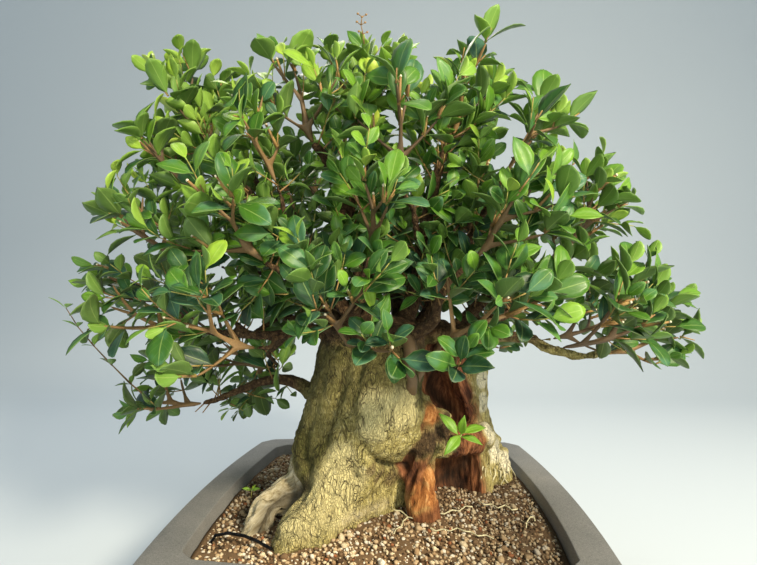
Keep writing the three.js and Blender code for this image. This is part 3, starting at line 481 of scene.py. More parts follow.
mixed = wood.blend(rotten, mixed, rot)
# Painted shade: grooves, cavities and the crown's shadow on the upper trunk go towards near black, and so
# does the lump.
shaded = wood.blend(wood.span(shade_amount, 0.25, 1.0, 0.0, 0.85), mixed, "1c140c")
dead = wood.math("MAXIMUM", rotten, bleached)
living = wood.math("SUBTRACT", 1.0, dead)
wrinkle_depth = wood.math("ADD", wood.times(fissures, -0.8), mottle)
wrinkle_depth = wood.math("ADD", wood.times(fine_fissures, -0.4), wrinkle_depth)
bark_skin = wood.bump(wood.times(wrinkle_depth, living), 2.0 * MM, 1.0)
wood_material = wood.done(
    Base_Color=shaded,
    Roughness=0.85,
    Specular_IOR_Level=0.25,
    Normal=wood.bump(wood.times(grain, dead), 2.6 * MM, 1.0, bark_skin),
)

# %% [markdown]
# A privet leaf is half glossy, with a pale midrib, faint side veins and a thin pale edge. New
# leaves at the tips are bright yellow-green, grown ones a full green, and old ones deep and bluish.
# Some of the older leaves get a dull bluish sheen in patches, a painted reflection of the sky. The
# underside is paler. Each leaf carries one number for its age, and the veins follow the leaf's own
# flat map, on which the underside lies two units to the side.

# %% Leaf finish
UNDERSIDE_SHIFT = 2.0
leaf = Finish("privet_leaf")
leaf_age = leaf.attribute("tint")
blade_map = leaf.node("SeparateXYZ", {"Vector": leaf.node("UVMap", uv_map="UVMap").outputs["UV"]})
underside = leaf.math("GREATER_THAN", blade_map.outputs["X"], UNDERSIDE_SHIFT - 0.5)
moved = leaf.times(underside, UNDERSIDE_SHIFT)
map_across = leaf.math("SUBTRACT", blade_map.outputs["X"], moved)
from_rib = leaf.math("ABSOLUTE", leaf.math("SUBTRACT", map_across, 0.5))
rib = leaf.span(from_rib, 0.008, 0.035, 1.0, 0.0)
edge = leaf.span(from_rib, 0.455, 0.5)
slant = leaf.math("ADD", blade_map.outputs["Y"], leaf.times(from_rib, -0.55))
comb = leaf.math("PINGPONG", leaf.times(slant, 6.0), 0.5)
side_vein = leaf.span(comb, 0.0, 0.07, 1.0, 0.0)
veins = leaf.math("MAXIMUM", rib, leaf.times(side_vein, 0.22))
LEAF_AGES = (
    (0.0, "173221"), (0.16, "23471c"), (0.32, "365f1b"), (0.48, "507d1e"), (0.64, "739d2b"),
    (0.8, "9bbc3d"), (0.92, "c3d556"), (1.0, "dccb34"),
)
blade = leaf.ramp(leaf_age, *LEAF_AGES)
cloud = leaf.noise(leaf.place(), 150, 3)
# A painted reflection of the sky: a dull bluish sheen in patches, on the older leaves.
painted_sky_sheen = leaf.span(leaf.noise(leaf.place(), 38, 2), 0.5, 0.62, 0.0, 0.5)
painted_sky_sheen = leaf.times(painted_sky_sheen, leaf.span(leaf_age, 0.35, 0.8, 1.0, 0.0))
blade_mottled = leaf.blend(leaf.span(cloud, 0.35, 0.7, 0.0, 0.25), blade, "2f5c26")
under_colour = leaf.blend(0.3, blade, "93b062")
blade_mottled = leaf.blend(painted_sky_sheen, blade_mottled, "4c7a63")
sided = leaf.blend(underside, blade_mottled, under_colour)
pale_lines = leaf.math("MAXIMUM", leaf.times(veins, 0.28), leaf.times(edge, 0.22))
leaf_colour = leaf.blend(pale_lines, sided, "b9cf78")
leaf_material = leaf.done(
    Base_Color=leaf_colour,
    Roughness=leaf.span(cloud, 0.3, 0.7, 0.36, 0.52),
    Specular_IOR_Level=0.34,
    Subsurface_Weight=0.1,
    Subsurface_Radius=(0.0012, 0.002, 0.0004),
    Normal=leaf.bump(veins, 0.2 * MM, 0.4),
)

# %% [markdown]
# Twigs are dark brown where they have turned to wood, tan where they are a year old, and
# yellow-green where they are new. The number that gives a leaf its age turns a twig from the one to
# the next, and its highest value is the cream of a fresh cut.

# %% Twig finish
twig = Finish("twig")
twig_age = twig.attribute("tint")
twig_fleck = twig.noise(twig.place(), 700, 3)
TWIG_AGES = (
    (0.0, "43362a"), (0.25, "7c633f"), (0.42, "a9824c"), (0.62, "a39a4e"), (0.85, "9aa64a"),
    (1.0, "f2e8c8"),
)
twig_skin = twig.ramp(twig_age, *TWIG_AGES)
twig_material = twig.done(
    Base_Color=twig.blend(twig.span(twig_fleck, 0.35, 0.7, 0.0, 0.4), twig_skin, "544128"),
    Roughness=0.65,
    Normal=twig.bump(twig_fleck, 0.4 * MM, 0.5),
)

# %% [markdown]
# The tie wire is soft dark aluminium, and the drainage plates, which nobody sees, are plain dark
# plastic. Both nodes have the right shape already, so they keep it and only get their finish.

# %% Wire and plates
wire = Finish("dark_wire")
wire_scuff = wire.noise(wire.place(), 500, 3)
wire_material = wire.done(
    Base_Color=wire.ramp(wire_scuff, (0.35, "15161a"), (0.65, "2f3036")),
    Metallic=0.8,
    Roughness=wire.span(wire_scuff, 0.3, 0.7, 0.35, 0.6),
)
plate = Finish("plate_plastic")
plate_grain = plate.noise(plate.place(), 800, 2)
plate_material = plate.done(
    Base_Color=plate.ramp(plate_grain, (0.3, "191a19"), (0.7, "262725")),
    Roughness=0.6,
    Normal=plate.bump(plate_grain, 0.1 * MM, 0.4),
)
PLAIN_NODES = {
    "tie_wire_end": wire_material, "drain_plate_left": plate_material, "drain_plate_right": plate_material,
}
for name, material in PLAIN_NODES.items():
    nodes[name].data.materials.clear()
    nodes[name].data.materials.append(material)
only(nodes["tie_wire_end"])
bpy.ops.object.shade_smooth()

# %% [markdown]
# The pot is one fired piece. A ring of points takes the outline, a square whose sides bow outward,
# and is drawn up level by level: the heel, the wall, the lip, the flat rim, and down again inside
# to the floor. A level is a height and half a width, in millimetres. The feet are added, the drain
# holes cut, and every edge is eased as fired clay is.

# %% Pot
pot_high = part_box("pot")[1]
POT_HALF = pot_high.x
POT_TOP = pot_high.z
POT_BOW = 9 * MM
CORNER_ROUND = 9 * MM
CORNER_DEPTH = 0.7
CORNER_TUCK = 0.12
FOOT_HEIGHT = 8 * MM
FOOT_CENTRE = 104 * MM
FOOT_SIDE = 42 * MM
FOOT_SUNK = 1.2
OUTLINE_STEPS = 104
DRAIN_HALF_SPACING = 65 * MM
DRAIN_RADIUS = 12 * MM
DRAIN_SIDES = 32
EDGE_ROUND = 2.2 * MM
SHARP_EDGE = math.radians(35)
SHARP_SHADING = math.radians(40)
POT_LEVELS = [
    (8, 137), (9.5, 139.5), (14, 141), (70, 151), (74, 166), (88, 166), (88, 141), (18, 129),
]
POT_FLOOR = POT_LEVELS[-1][0] * MM


def bowed(along, half):
    """A point of the pot's outline, for a share of the way round it."""
    turn, step = divmod(along * 4, 1)
    reach = 2 * step - 1
    across = half - POT_BOW * reach * reach
    side = reach * (half - POT_BOW)
    overrun = max(0.0, abs(side) - (half - POT_BOW - CORNER_ROUND))
    rounded = 1 - math.sqrt(max(0.0, 1 - (overrun / CORNER_ROUND) ** 2))
    across -= CORNER_ROUND * rounded * CORNER_DEPTH
    side = math.copysign(abs(side) - overrun * CORNER_TUCK, side) if side else 0.0
    cosine, sine = math.cos(turn * math.pi / 2), math.sin(turn * math.pi / 2)
    return across * cosine - side * sine, across * sine + side * cosine


def combined(piece, other, operation):
    """Joins another piece to this one, or cuts it out, and does away with it."""
    reshape(piece, "BOOLEAN", operation=operation, object=other)
    discard(other)


pot = primitive("circle", vertices=OUTLINE_STEPS, radius=POT_HALF)
first_height, first_half = POT_LEVELS[0]
for number, vertex in enumerate(pot.data.vertices):
    x, y = bowed(number / OUTLINE_STEPS, first_half * MM)
    vertex.co = (x, y, first_height * MM)
with edit_mode(pot):
    bpy.ops.mesh.edge_face_add()
    for (height, half), (next_height, next_half) in zip(POT_LEVELS, POT_LEVELS[1:]):
        rise = (next_height - height) * MM
        bpy.ops.mesh.extrude_region_move(TRANSFORM_OT_translate={"value": (0, 0, rise)})
        growth = next_half / half
        bpy.ops.transform.resize(value=(growth, growth, 1), center_override=(0, 0, 0))
    bpy.ops.mesh.select_all(action="SELECT")
    bpy.ops.mesh.normals_make_consistent(inside=False)

for sx in (-1, 1):
    for sy in (-1, 1):
        middle = (sx * FOOT_CENTRE, sy * FOOT_CENTRE, FOOT_HEIGHT * FOOT_SUNK / 2)
        foot = primitive("cube", size=1, location=middle)
        bpy.ops.transform.resize(value=(FOOT_SIDE, FOOT_SIDE, FOOT_HEIGHT * FOOT_SUNK))
        bpy.ops.object.transform_apply(location=True, rotation=True, scale=True)
        combined(pot, foot, "UNION")
for sx in (-1, 1):
    middle = (sx * DRAIN_HALF_SPACING, 0, POT_FLOOR)
    size = {"vertices": DRAIN_SIDES, "radius": DRAIN_RADIUS, "depth": 2 * POT_FLOOR}
    combined(pot, primitive("cylinder", location=middle, **size), "DIFFERENCE")
reshape(pot, "BEVEL", width=EDGE_ROUND, segments=3, limit_method="ANGLE", angle_limit=SHARP_EDGE)
bpy.ops.object.shade_smooth_by_angle(angle=SHARP_SHADING)
finished(pot, "pot_fired", "pot", pot_material, replaced=["pot"])

# %% [markdown]
# Rough natural surfaces need noise that can be read at any point. This one is a smooth noise on a
# lattice of random numbers, worked out for many points at once, with finer layers added on top. The
# other helpers read and write the points of a mesh all at once.

# %% Noise for many points
LATTICE = 64
LAYER_SHIFT = 7.3
lattice_values = np.random.default_rng(11).random((LATTICE, LATTICE, LATTICE)) * 2 - 1


def smooth_noise(points):
    """Smooth noise from -1 to 1 at each point, with waves about one unit long."""
    cell = np.floor(points).astype(int)
    inside = points - cell
    inside = inside * inside * (3 - 2 * inside)
    total = np.zeros(len(points))
    for corner in np.ndindex(2, 2, 2):
        at = (cell + corner) % LATTICE
        weight = np.prod(np.where(corner, inside, 1 - inside), axis=1)
        total += weight * lattice_values[at[:, 0], at[:, 1], at[:, 2]]
    return total


def layered_noise(points, wave, layers=3):
    """Noise with waves of a given length, and layers of half the length and half the height."""
    total = np.zeros(len(points))
    for layer in range(layers):
        total += smooth_noise(points / wave * 2 ** layer + LAYER_SHIFT * layer) / 2 ** layer
    return total


def values_of(items, field, width=3):
    """One field of many points, faces or corners, as rows of numbers."""
    flat = np.empty(len(items) * width)
    items.foreach_get(field, flat)
    return flat.reshape(-1, width)


def points_of(mesh):
    return values_of(mesh.vertices, "co")


def normals_of(mesh):
    return values_of(mesh.vertex_normals, "vector")


def move_points(mesh, points):
    mesh.vertices.foreach_set("co", points.ravel())
    mesh.update()


def note(mesh, name, values, kind="FLOAT"):
    """Writes a number, a place or a colour on each point of a mesh, for its finish to read."""
    field = {"FLOAT": "value", "FLOAT_VECTOR": "vector", "FLOAT_COLOR": "color"}[kind]
    mesh.attributes.new(name, kind, "POINT").data.foreach_set(field, np.ravel(values))


def smooth_step(value, low, high):
    share = np.clip((value - low) / (high - low), 0, 1)
    return share * share * (3 - 2 * share)


# %% [markdown]
# The wood is one grown thing, from the roots to the limbs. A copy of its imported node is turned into
# a fine even skin by a voxel remesh and smoothed. The cells after this one push it in and out: long
# ridges that climb the trunk, splits along the dead wood, and fine pitting in the bark.

# %% Wood shape
WOOD_VOXEL = 1.96 * MM

wood_piece = merged_copy(nodes["trunk_and_limbs"], 0.01 * MM)
reshape(wood_piece, "REMESH", mode="VOXEL", voxel_size=WOOD_VOXEL)
reshape(wood_piece, "SMOOTH", factor=0.5, iterations=6)
print("wood skin:", len(wood_piece.data.vertices), "points")

# %% [markdown]
# The marks of the stump are placed where the photo shows them. Each mark is a pixel of the photo,
# and the point of the wood that the camera sees through that pixel is the mark's place. The size of
# a mark is a real one, in millimetres, and its edge is ragged.

# %% Marks on the wood
ARM_LENGTH = 400 * MM
RAGGED_LINE = 0.12
RAGGED_MARK = 0.6

points = points_of(wood_piece.data)
wood_piece.data.calc_loop_triangles()
bare_tree = BVHTree.FromPolygons(
    [Vector(point) for point in points], [t.vertices for t in wood_piece.data.loop_triangles])
camera_turn = camera.rotation_euler.to_matrix()


def ray_through(pixel):
    """The way in which the camera looks through a pixel of the photo."""
    across = (pixel[0] - PICTURE_WIDTH / 2) / FOCAL_PIXELS
    down = (pixel[1] - PICTURE_HEIGHT / 2) / FOCAL_PIXELS
    return (camera_turn @ Vector((across, -down, -1))).normalized()


def seen_at(pixel):
    """The point of the wood that is seen at a pixel, or the nearest one to that line of sight."""
    way = ray_through(pixel)
    hit = bare_tree.ray_cast(EYE, way)[0]
    if hit is None:
        hit = bare_tree.find_nearest(EYE + way * ARM_LENGTH)[0]
    return np.array(hit)


ragged = layered_noise(points, 16 * MM) * 4 * MM
x, y, z = points.T


def share_along(start, end):
    """Where on the line between two places each point of the wood comes nearest to it."""
    along = end - start
    return np.clip((points - start) @ along / max(along @ along, 1e-12), 0, 1)


def distance_to(start, end):
    """How far each point of the wood is from the line between two places."""
    nearest = start + share_along(start, end)[:, None] * (end - start)
    return np.linalg.norm(points - nearest, axis=1)


def near(start, end, radius, ragged_share, inner, outer):
    """A share of 1 near a line, that fades to 0 between two shares of the radius."""
    distance = distance_to(start, end) + ragged * ragged_share
    return 1 - smooth_step(distance, radius * MM * inner, radius * MM * outer)


def near_lines(lines):
    """The same for several lines, each given as a start, an end and a radius in millimetres."""
    ends = [(np.array(start) * MM, np.array(end) * MM, radius) for start, end, radius in lines]
    return np.max([near(*line, 1, 0.75, 1.1) for line in ends], axis=0)


def near_marks(marks):
    """The same round marks, each given as a pixel and a radius in millimetres."""
    spots = [(seen_at(pixel), seen_at(pixel), radius) for pixel, radius in marks]
    return np.max([near(*spot, RAGGED_MARK, 0.55, 1.15) for spot in spots], axis=0)


def mound(pixel, spread):
    """A share of 1 at a mark, that falls away evenly over its spread."""
    place = seen_at(pixel)
    return np.exp(-(distance_to(place, place) / (spread * MM)) ** 2)


def furrow(distance, width):
    """A share of 1 where the distance from a line is 0, that falls away over a width."""
    return np.exp(-((distance + ragged * RAGGED_LINE) / (width * MM)) ** 2)


def along_marks(pixels, width):
    """A share of 1 on a line drawn through pixels, that fades over its width."""
    places = [seen_at(pixel) for pixel in pixels]
    return furrow(np.min([distance_to(a, b) for a, b in zip(places, places[1:])], axis=0), width)


# %% [markdown]
# The bark swells in a great lobe at the right, in a knob at the left edge and in the toe of the
# front root. Creases part the lobes, the deepest of them between the bleached root and the living
# one. Each swelling or pit is a pixel, a spread and a height or depth. A crease is a row of pixels,
# each with the crease's depth there, and a width.

# %% Swellings and creases
SWELLINGS = [
    ((412, 385), 24, 2.5), ((408, 420), 16, 2.0), ((404, 446), 11, 3.0), ((345, 440), 20, 4.0),
    ((302, 440), 9, 5.0), ((291, 528), 13, 4.0), ((330, 470), 20, 3.0), ((340, 360), 16, 3.0),
    ((371, 402), 16, 6.5), ((376, 428), 13, 4.5), ((386, 366), 14, 3.0), ((431, 414), 10, 5.0),
    ((428, 443), 12, 3.0), ((490, 440), 11, 4.0), ((506, 462), 10, 4.0), ((423, 500), 11, 3.0),
    ((410, 358), 9, 5.0), ((484, 380), 9, 2.5), ((372, 370), 18, 3.0), ((484, 426), 5, 3.5),
    ((497, 440), 5, 3.5), ((487, 456), 5, 3.5), ((504, 452), 5, 3.0), ((512, 468), 5, 3.5),
    ((276, 528), 5, 3.0), ((294, 544), 6, 3.0), ((298, 520), 7, 2.0), ((418, 436), 4, 3.0),
    ((430, 430), 4, 3.0), ((440, 440), 4, 3.0), ((428, 452), 4, 3.0),
]
CREASES = [
    ([(364, 440, 0), (368, 454, 4), (380, 465, 7), (392, 471, 8), (404, 468, 7), (412, 456, 4)], 3.8),
    ([(350, 372, 0), (341, 394, 3), (332, 418, 3.5), (327, 438, 3.5), (331, 456, 1)], 3.5),
    ([(314, 410, 1), (307, 434, 5), (305, 456, 5), (309, 472, 4), (304, 484, 5)], 4.5),
    ([(304, 484, 5), (292, 496, 8), (280, 508, 9), (268, 522, 9), (262, 533, 6)], 9.0),
    ([(268, 536, 0), (280, 538, 3), (292, 532, 2), (300, 522, 0)], 2.6),
    ([(392, 488, 0), (366, 500, 2.8), (340, 514, 2.8), (314, 530, 1)], 2.4),
    ([(380, 372, 0), (384, 352, 4), (382, 338, 5)], 4.0),
    ([(362, 356, 3), (360, 380, 2), (364, 400, 0)], 3.0),
    ([(322, 470, 0), (312, 492, 3), (300, 508, 1)], 3.0),
    ([(350, 452, 0), (356, 474, 3), (352, 494, 1)], 3.0),
    ([(436, 458, 3), (428, 472, 7), (423, 488, 8), (412, 504, 5)], 3.2),
    ([(421, 460, 4), (412, 474, 8), (408, 490, 4)], 4.0),
    ([(438, 466, 3), (440, 482, 8), (444, 500, 2)], 4.0),
    ([(432, 484, 4), (430, 496, 6), (428, 508, 4)], 2.0),
    ([(478, 424, 2), (486, 446, 4), (498, 470, 3)], 3.0),
    ([(492, 424, 2), (502, 444, 4), (512, 462, 3)], 2.6),
]
PITS = [((385, 480), 8, 3.0), ((434, 388), 11, 8.0), ((452, 480), 12, 8.0), ((442, 430), 6, 4.0)]

swelling = sum(height * MM * mound(pixel, spread) for pixel, spread, height in SWELLINGS)
creases = np.zeros(len(points))
for marks, width in CREASES:
    for (*start, start_depth), (*end, end_depth) in zip(marks, marks[1:]):
        line = seen_at(start), seen_at(end)
        depth = start_depth + (end_depth - start_depth) * share_along(*line)
        creases = np.maximum(creases, furrow(distance_to(*line), width) * depth * MM)
for pixel, spread, depth in PITS:
    creases = np.maximum(creases, depth * MM * mound(pixel, spread))
print(f"highest swelling: {swelling.max() / MM:.1f} mm, deepest crease: {creases.max() / MM:.1f} mm")

# %% [markdown]
# The leg, the bridge and the walls of the hollow are rotten wood, the root at the left front is
# bleached, and all that rises above the trunk's top is limb bark, as are the low limb at the left,
# the lump beside the hollow and a few stubs. The rot is light orange on the leg and the knob, and
# dark red in the fan of fibres behind the upper opening. The back of the trunk is sound bark.

# %% Wood kinds
LEG = [((33, -32, 166), (31, -44, 118), 14), ((31, -44, 118), (40, -48, 60), 17)]
BRIDGE = [((50, -24, 138), (84, 14, 130), 17)]
HOLLOW_AXIS = [
    ((68, -6, 70), (68, -4, 130), 33), ((68, -4, 130), (52, 0, 200), 29),
    ((62, 22, 70), (58, 20, 150), 36), ((58, 20, 150), (52, 18, 196), 32),
]
BARE_ROOT = [((-62, -30, 112), (-92, -64, 92), 21), ((-92, -64, 92), (-102, -84, 60), 23)]
ORANGE_MARKS = [((431, 414), 13), ((437, 462), 9), ((432, 478), 12), ((425, 496), 14), ((416, 504), 10)]
FAN_MARKS = [((448, 350), 15), ((456, 372), 16), ((464, 396), 15), ((470, 414), 10), ((454, 456), 9)]
# Lines along the cavities of the stump, which are painted dark as painted shade.
PAINTED_SHADE_LINES = [
    ([(438, 366), (432, 384), (438, 400), (450, 409)], 10),
    ([(444, 480), (456, 472), (466, 460)], 10),
    ([(450, 470), (458, 488)], 13),
    ([(302, 485), (292, 495)], 8),
    ([(289, 497), (280, 506), (270, 518), (264, 530)], 15),
]
LUMP_MARKS = [
    ((428, 442), 12), ((418, 452), 8), ((438, 434), 10), ((446, 428), 8), ((446, 418), 8), ((449, 439), 8),
]
BARE_EDGE = [(344, 521), (358, 515), (370, 510), (384, 504)]
# Places on the lobe and the front foot where the sun falls: pale bark there, partly painted light.
PALE_AND_LIT_MARKS = [
    ((402, 410), 20), ((376, 405), 14), ((374, 428), 12), ((330, 500), 26), ((300, 518), 22),
    ((352, 478), 15), ((345, 455), 13), ((338, 472), 15),
]
STRIP_MARKS = [
    ((481, 360), 10), ((481, 380), 11), ((482, 402), 12), ((488, 432), 15), ((494, 450), 16),
    ((506, 462), 15),
]
STUB_MARKS = [((424, 350), 9), ((372, 470), 6), ((381, 477), 8), ((393, 480), 8), ((402, 476), 6)]
BACK_FROM = 30 * MM
TRUNK_TOP = 214 * MM
LOW_LIMB_FROM = (70 * MM, 88 * MM)
LOW_LIMB_ABOVE = (138 * MM, 150 * MM)
UPPER_TRUNK = (150 * MM, 190 * MM)
SHADED_LEFT_OF = 45 * MM

lump = near_marks(LUMP_MARKS)
orange = near_marks(ORANGE_MARKS)
fan = near_marks(FAN_MARKS)
strip = near_marks(STRIP_MARKS)
# The living strip is painted paler than any other bark: painted light where the sun falls on it.
pale_and_lit_share = np.maximum(near_marks(PALE_AND_LIT_MARKS), 1.7 * strip)
back_side = smooth_step(normals_of(wood_piece.data)[:, 1], -0.1, 0.3) * (y > BACK_FROM)
rotten_share = np.max([orange, fan, near_lines(LEG + BRIDGE + HOLLOW_AXIS)], axis=0)
rotten_share *= (1 - lump) * (1 - strip) * (1 - back_side)
bleached_share = np.maximum(near_lines(BARE_ROOT), 0.45 * along_marks(BARE_EDGE, 5))
limb_share = np.max([
    smooth_step(z + ragged, TRUNK_TOP, TRUNK_TOP + 18 * MM),
    smooth_step(-x - ragged, *LOW_LIMB_FROM) * smooth_step(z, *LOW_LIMB_ABOVE),
    0.65 * near_marks(STUB_MARKS),
    0.95 * lump,
], axis=0)
# Darker, greener bark at the left above the roots: algae film and painted shade.
film_and_shade_share = 0.9 * smooth_step(-x + ragged, -2 * MM, 56 * MM) * smooth_step(z, 92 * MM, 128 * MM)
# The crown's painted shadow on the upper trunk, left of the strip.
painted_crown_shadow = smooth_step(z + ragged, *UPPER_TRUNK) * (x < SHADED_LEFT_OF)
film_and_shade_share = np.maximum(film_and_shade_share, painted_crown_shadow)
warmth_share = np.clip(0.22 + 0.75 * orange + 0.12 * layered_noise(points, 9 * MM, 2), 0, 1)
warmth_share *= 1 - 0.8 * fan * (1 - orange)

# %% [markdown]
# Fibres of dead wood run up the trunk, but in the fan behind the opening they sweep down to the
# right, and they follow the lean of the leg and of the bare root. Places are squeezed along the
# fibres, so noise that is read at them is long along the grain and short across it. The same
# squeezed places drive the splits in the surface and the finish.

# %% Wood relief
FIBRE_SQUEEZE = 0.86


def along_fibre(start, end):
    """The places squeezed along a fibre. At its middle they agree with those squeezed upwards."""
    fibre = (end - start) / np.linalg.norm(end - start)
    middle = (start + end) / 2
    squeezed = points - FIBRE_SQUEEZE * ((points - middle) @ fibre)[:, None] * fibre
    return squeezed - FIBRE_SQUEEZE * middle * (0, 0, 1)


grain_points = along_fibre(np.zeros(3), np.array((0, 0, 1)))
FIBRES = [
    (fan, seen_at((447, 354)), seen_at((472, 410))),
    (orange, np.array((42, -46, 132)) * MM, np.array((24, -46, 62)) * MM),
    (bleached_share, seen_at((296, 472)), seen_at((254, 512))),
]
for share, start, end in FIBRES:
    grain_points += share[:, None] * (along_fibre(start, end) - grain_points)


def ridges(places, wave):
    """Noise folded over, from 1 on sharp ridges to -1 in broad troughs."""
    return 1 - np.abs(layered_noise(places, wave, 2)) * 2


flow = np.stack([x, y, z * 0.3], axis=1)
folds = ridges(flow + 0.3, 24 * MM)
bark_relief = 2.0 * MM * folds + 1.4 * MM * layered_noise(points, 7 * MM) - 1.0 * MM
splits = ridges(grain_points + 0.7, 6 * MM)
dead_relief = (1.7 * MM * splits - 0.6 * MM) * (1 + 0.9 * bleached_share)
limb_relief = 0.5 * MM * layered_noise(points, 5 * MM, 2)
dead_share = np.maximum(rotten_share, bleached_share)
relief = bark_relief * (1 - dead_share) + dead_relief * dead_share
relief = relief * (1 - limb_share) + limb_relief * limb_share
relief += swelling - creases
move_points(wood_piece.data, points + normals_of(wood_piece.data) * relief[:, None])
reshape(wood_piece, "SMOOTH", factor=0.4, iterations=1)
print(f"relief from {relief.min() / MM:.1f} to {relief.max() / MM:.1f} mm")

# %% [markdown]
# Shade is painted into every groove. How deep a place lies is found by smoothing a copy of the
# surface: where the smoothed one is outside the real one, the place is a hollow and is darkened
# as painted shade. The cavities along the listed lines, the creases and the top of the trunk in the
# crown's shadow are darkened as painted shade as well, and the lump is darkened with them.

# %% Wood grooves and attributes
FULL_HOLLOW = 2.6 * MM
FULL_CREASE = 9 * MM

melted = own_copy(wood_piece)
reshape(melted, "SMOOTH", factor=0.5, iterations=22)
shift = points_of(melted.data) - points_of(wood_piece.data)
discard(melted)
# Painted shade in grooves, along the cavities, in the creases and in the crown's shadow, and the lump's
# darkening.
painted_shade_and_lump = np.max([
    np.clip(np.sum(shift * normals_of(wood_piece.data), axis=1) / FULL_HOLLOW, 0, 1),
    *[along_marks(*line) for line in PAINTED_SHADE_LINES],
    0.5 * np.clip(creases / FULL_CREASE, 0, 1),
    0.6 * lump,
    # the crown's painted shadow on the upper trunk
    0.45 * smooth_step(z + ragged, 150 * MM, 195 * MM) * (x < SHADED_LEFT_OF),
], axis=0)
kind_values = np.stack([rotten_share, bleached_share, limb_share, np.ones(len(points))], axis=1)
note(wood_piece.data, "kind", kind_values, "FLOAT_COLOR")
note(wood_piece.data, "grain", grain_points, "FLOAT_VECTOR")
note(wood_piece.data, "painted_shade_and_lump", painted_shade_and_lump)
note(wood_piece.data, "warmth", warmth_share)
note(wood_piece.data, "pale_and_lit", pale_and_lit_share)
note(wood_piece.data, "film_and_shade", film_and_shade_share)
only(wood_piece)
bpy.ops.object.shade_smooth()
finished(wood_piece, "tree_wood", "wood", wood_material, replaced=["trunk_and_limbs"])

TOUCHING = 0.3 * MM
wood_mesh = wood_piece.data
wood_mesh.calc_loop_triangles()
wood_tree = BVHTree.FromPolygons(
    [v.co for v in wood_mesh.vertices], [t.vertices for t in wood_mesh.loop_triangles])


def inside_wood(point):
    """True where a point is in the wood, or so near that a crumb would be."""
    place, normal, _, distance = wood_tree.find_nearest(point)
    return distance < TOUCHING or (point - place).dot(normal) < 0


# %% [markdown]
# What repeats by the thousand is modelled once and then stamped: a small pattern mesh is turned,
# sized and placed by a matrix for each copy, and all copies of one piece are written into one mesh
# together. Every copy carries its own number, which its finish reads as colour or age. In a piece
# of leaves and twigs, the twigs have the second material.

# %% Stamping copies
TWIG_INDEX = 1


class Pattern:
    """A small mesh to be copied: its points, its faces, and its flat map. It uses up its piece."""

    def __init__(self, piece, material_index=0):
        mesh = piece.data
        self.points = points_of(mesh)
        faces = [list(face.vertices) for face in mesh.polygons]
        self.sizes = np.array([len(face) for face in faces])
        self.corners = np.concatenate(faces)
        self.map = np.zeros((len(self.corners), 2))
        if mesh.uv_layers:
            self.map = values_of(mesh.uv_layers.active.data, "uv", 2)
        self.material_index = material_index
        discard(piece)


def stamped(name, stamps):
    """One piece of many copies. Each stamp is a pattern, its matrices and a number for each."""
    points, corners, sizes, maps, tints, indices = [], [], [], [], [], []
    offset = 0
    for pattern, matrices, numbers in stamps:
        if not len(matrices):
            continue
        turns = np.array([[row[:3] for row in matrix[:3]] for matrix in matrices])
        moves = np.array([matrix.translation for matrix in matrices])
        placed = np.einsum("kij,nj->kni", turns, pattern.points) + moves[:, None, :]
        count = len(pattern.points)
        starts = offset + count * np.arange(len(matrices))
        points.append(placed.reshape(-1, 3))
        corners.append((pattern.corners[None, :] + starts[:, None]).ravel())
        sizes.append(np.tile(pattern.sizes, len(matrices)))
        maps.append(np.tile(pattern.map, (len(matrices), 1)))
        tints.append(np.repeat(np.array(numbers, dtype=float), count))
        indices.append(np.full(len(matrices) * len(pattern.sizes), pattern.material_index))
        offset += count * len(matrices)
    points, corners, sizes = map(np.concatenate, (points, corners, sizes))
    mesh = bpy.data.meshes.new(name)
    mesh.vertices.add(len(points))
    mesh.vertices.foreach_set("co", points.ravel())
    mesh.loops.add(len(corners))
    mesh.loops.foreach_set("vertex_index", corners.astype(np.int32))
    mesh.polygons.add(len(sizes))
    mesh.polygons.foreach_set("loop_start", (np.cumsum(sizes) - sizes).astype(np.int32))
    mesh.polygons.foreach_set("material_index", np.concatenate(indices).astype(np.int32))
    mesh.polygons.foreach_set("use_smooth", np.ones(len(sizes), dtype=bool))
    mesh.uv_layers.new(name="UVMap").data.foreach_set("uv", np.concatenate(maps).ravel())
    note(mesh, "tint", np.concatenate(tints))
    mesh.update(calc_edges=True)
    return linked(bpy.data.objects.new(name, mesh))


# %% [markdown]
# The soil's body is a block of fine dark crumbs that fills the pot and rises a little towards the
# trunk. A grid takes the bowed square of the pot's inside and the height of the mound, gets small
# noise, and its border is drawn down to the pot's floor.

# %% Soil bed
soil_low, soil_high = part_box("soil")
BED_STEPS = 90
SOIL_EDGE_Z = POT_TOP - 10 * MM
SOIL_RISE = 7.5 * MM
MOUND_RADIUS = 105 * MM
BED_HALF = soil_high.x - 0.5 * MM
BED_FOOT_SHARE = 0.93
BED_TINT = 0.2
LUMP_HEIGHT = 1.3 * MM
BED_BELOW_GRIT = 1.2 * MM


def bed_height(x, y):
    return SOIL_EDGE_Z + SOIL_RISE * np.exp(-((np.hypot(x, y) / MOUND_RADIUS) ** 2))


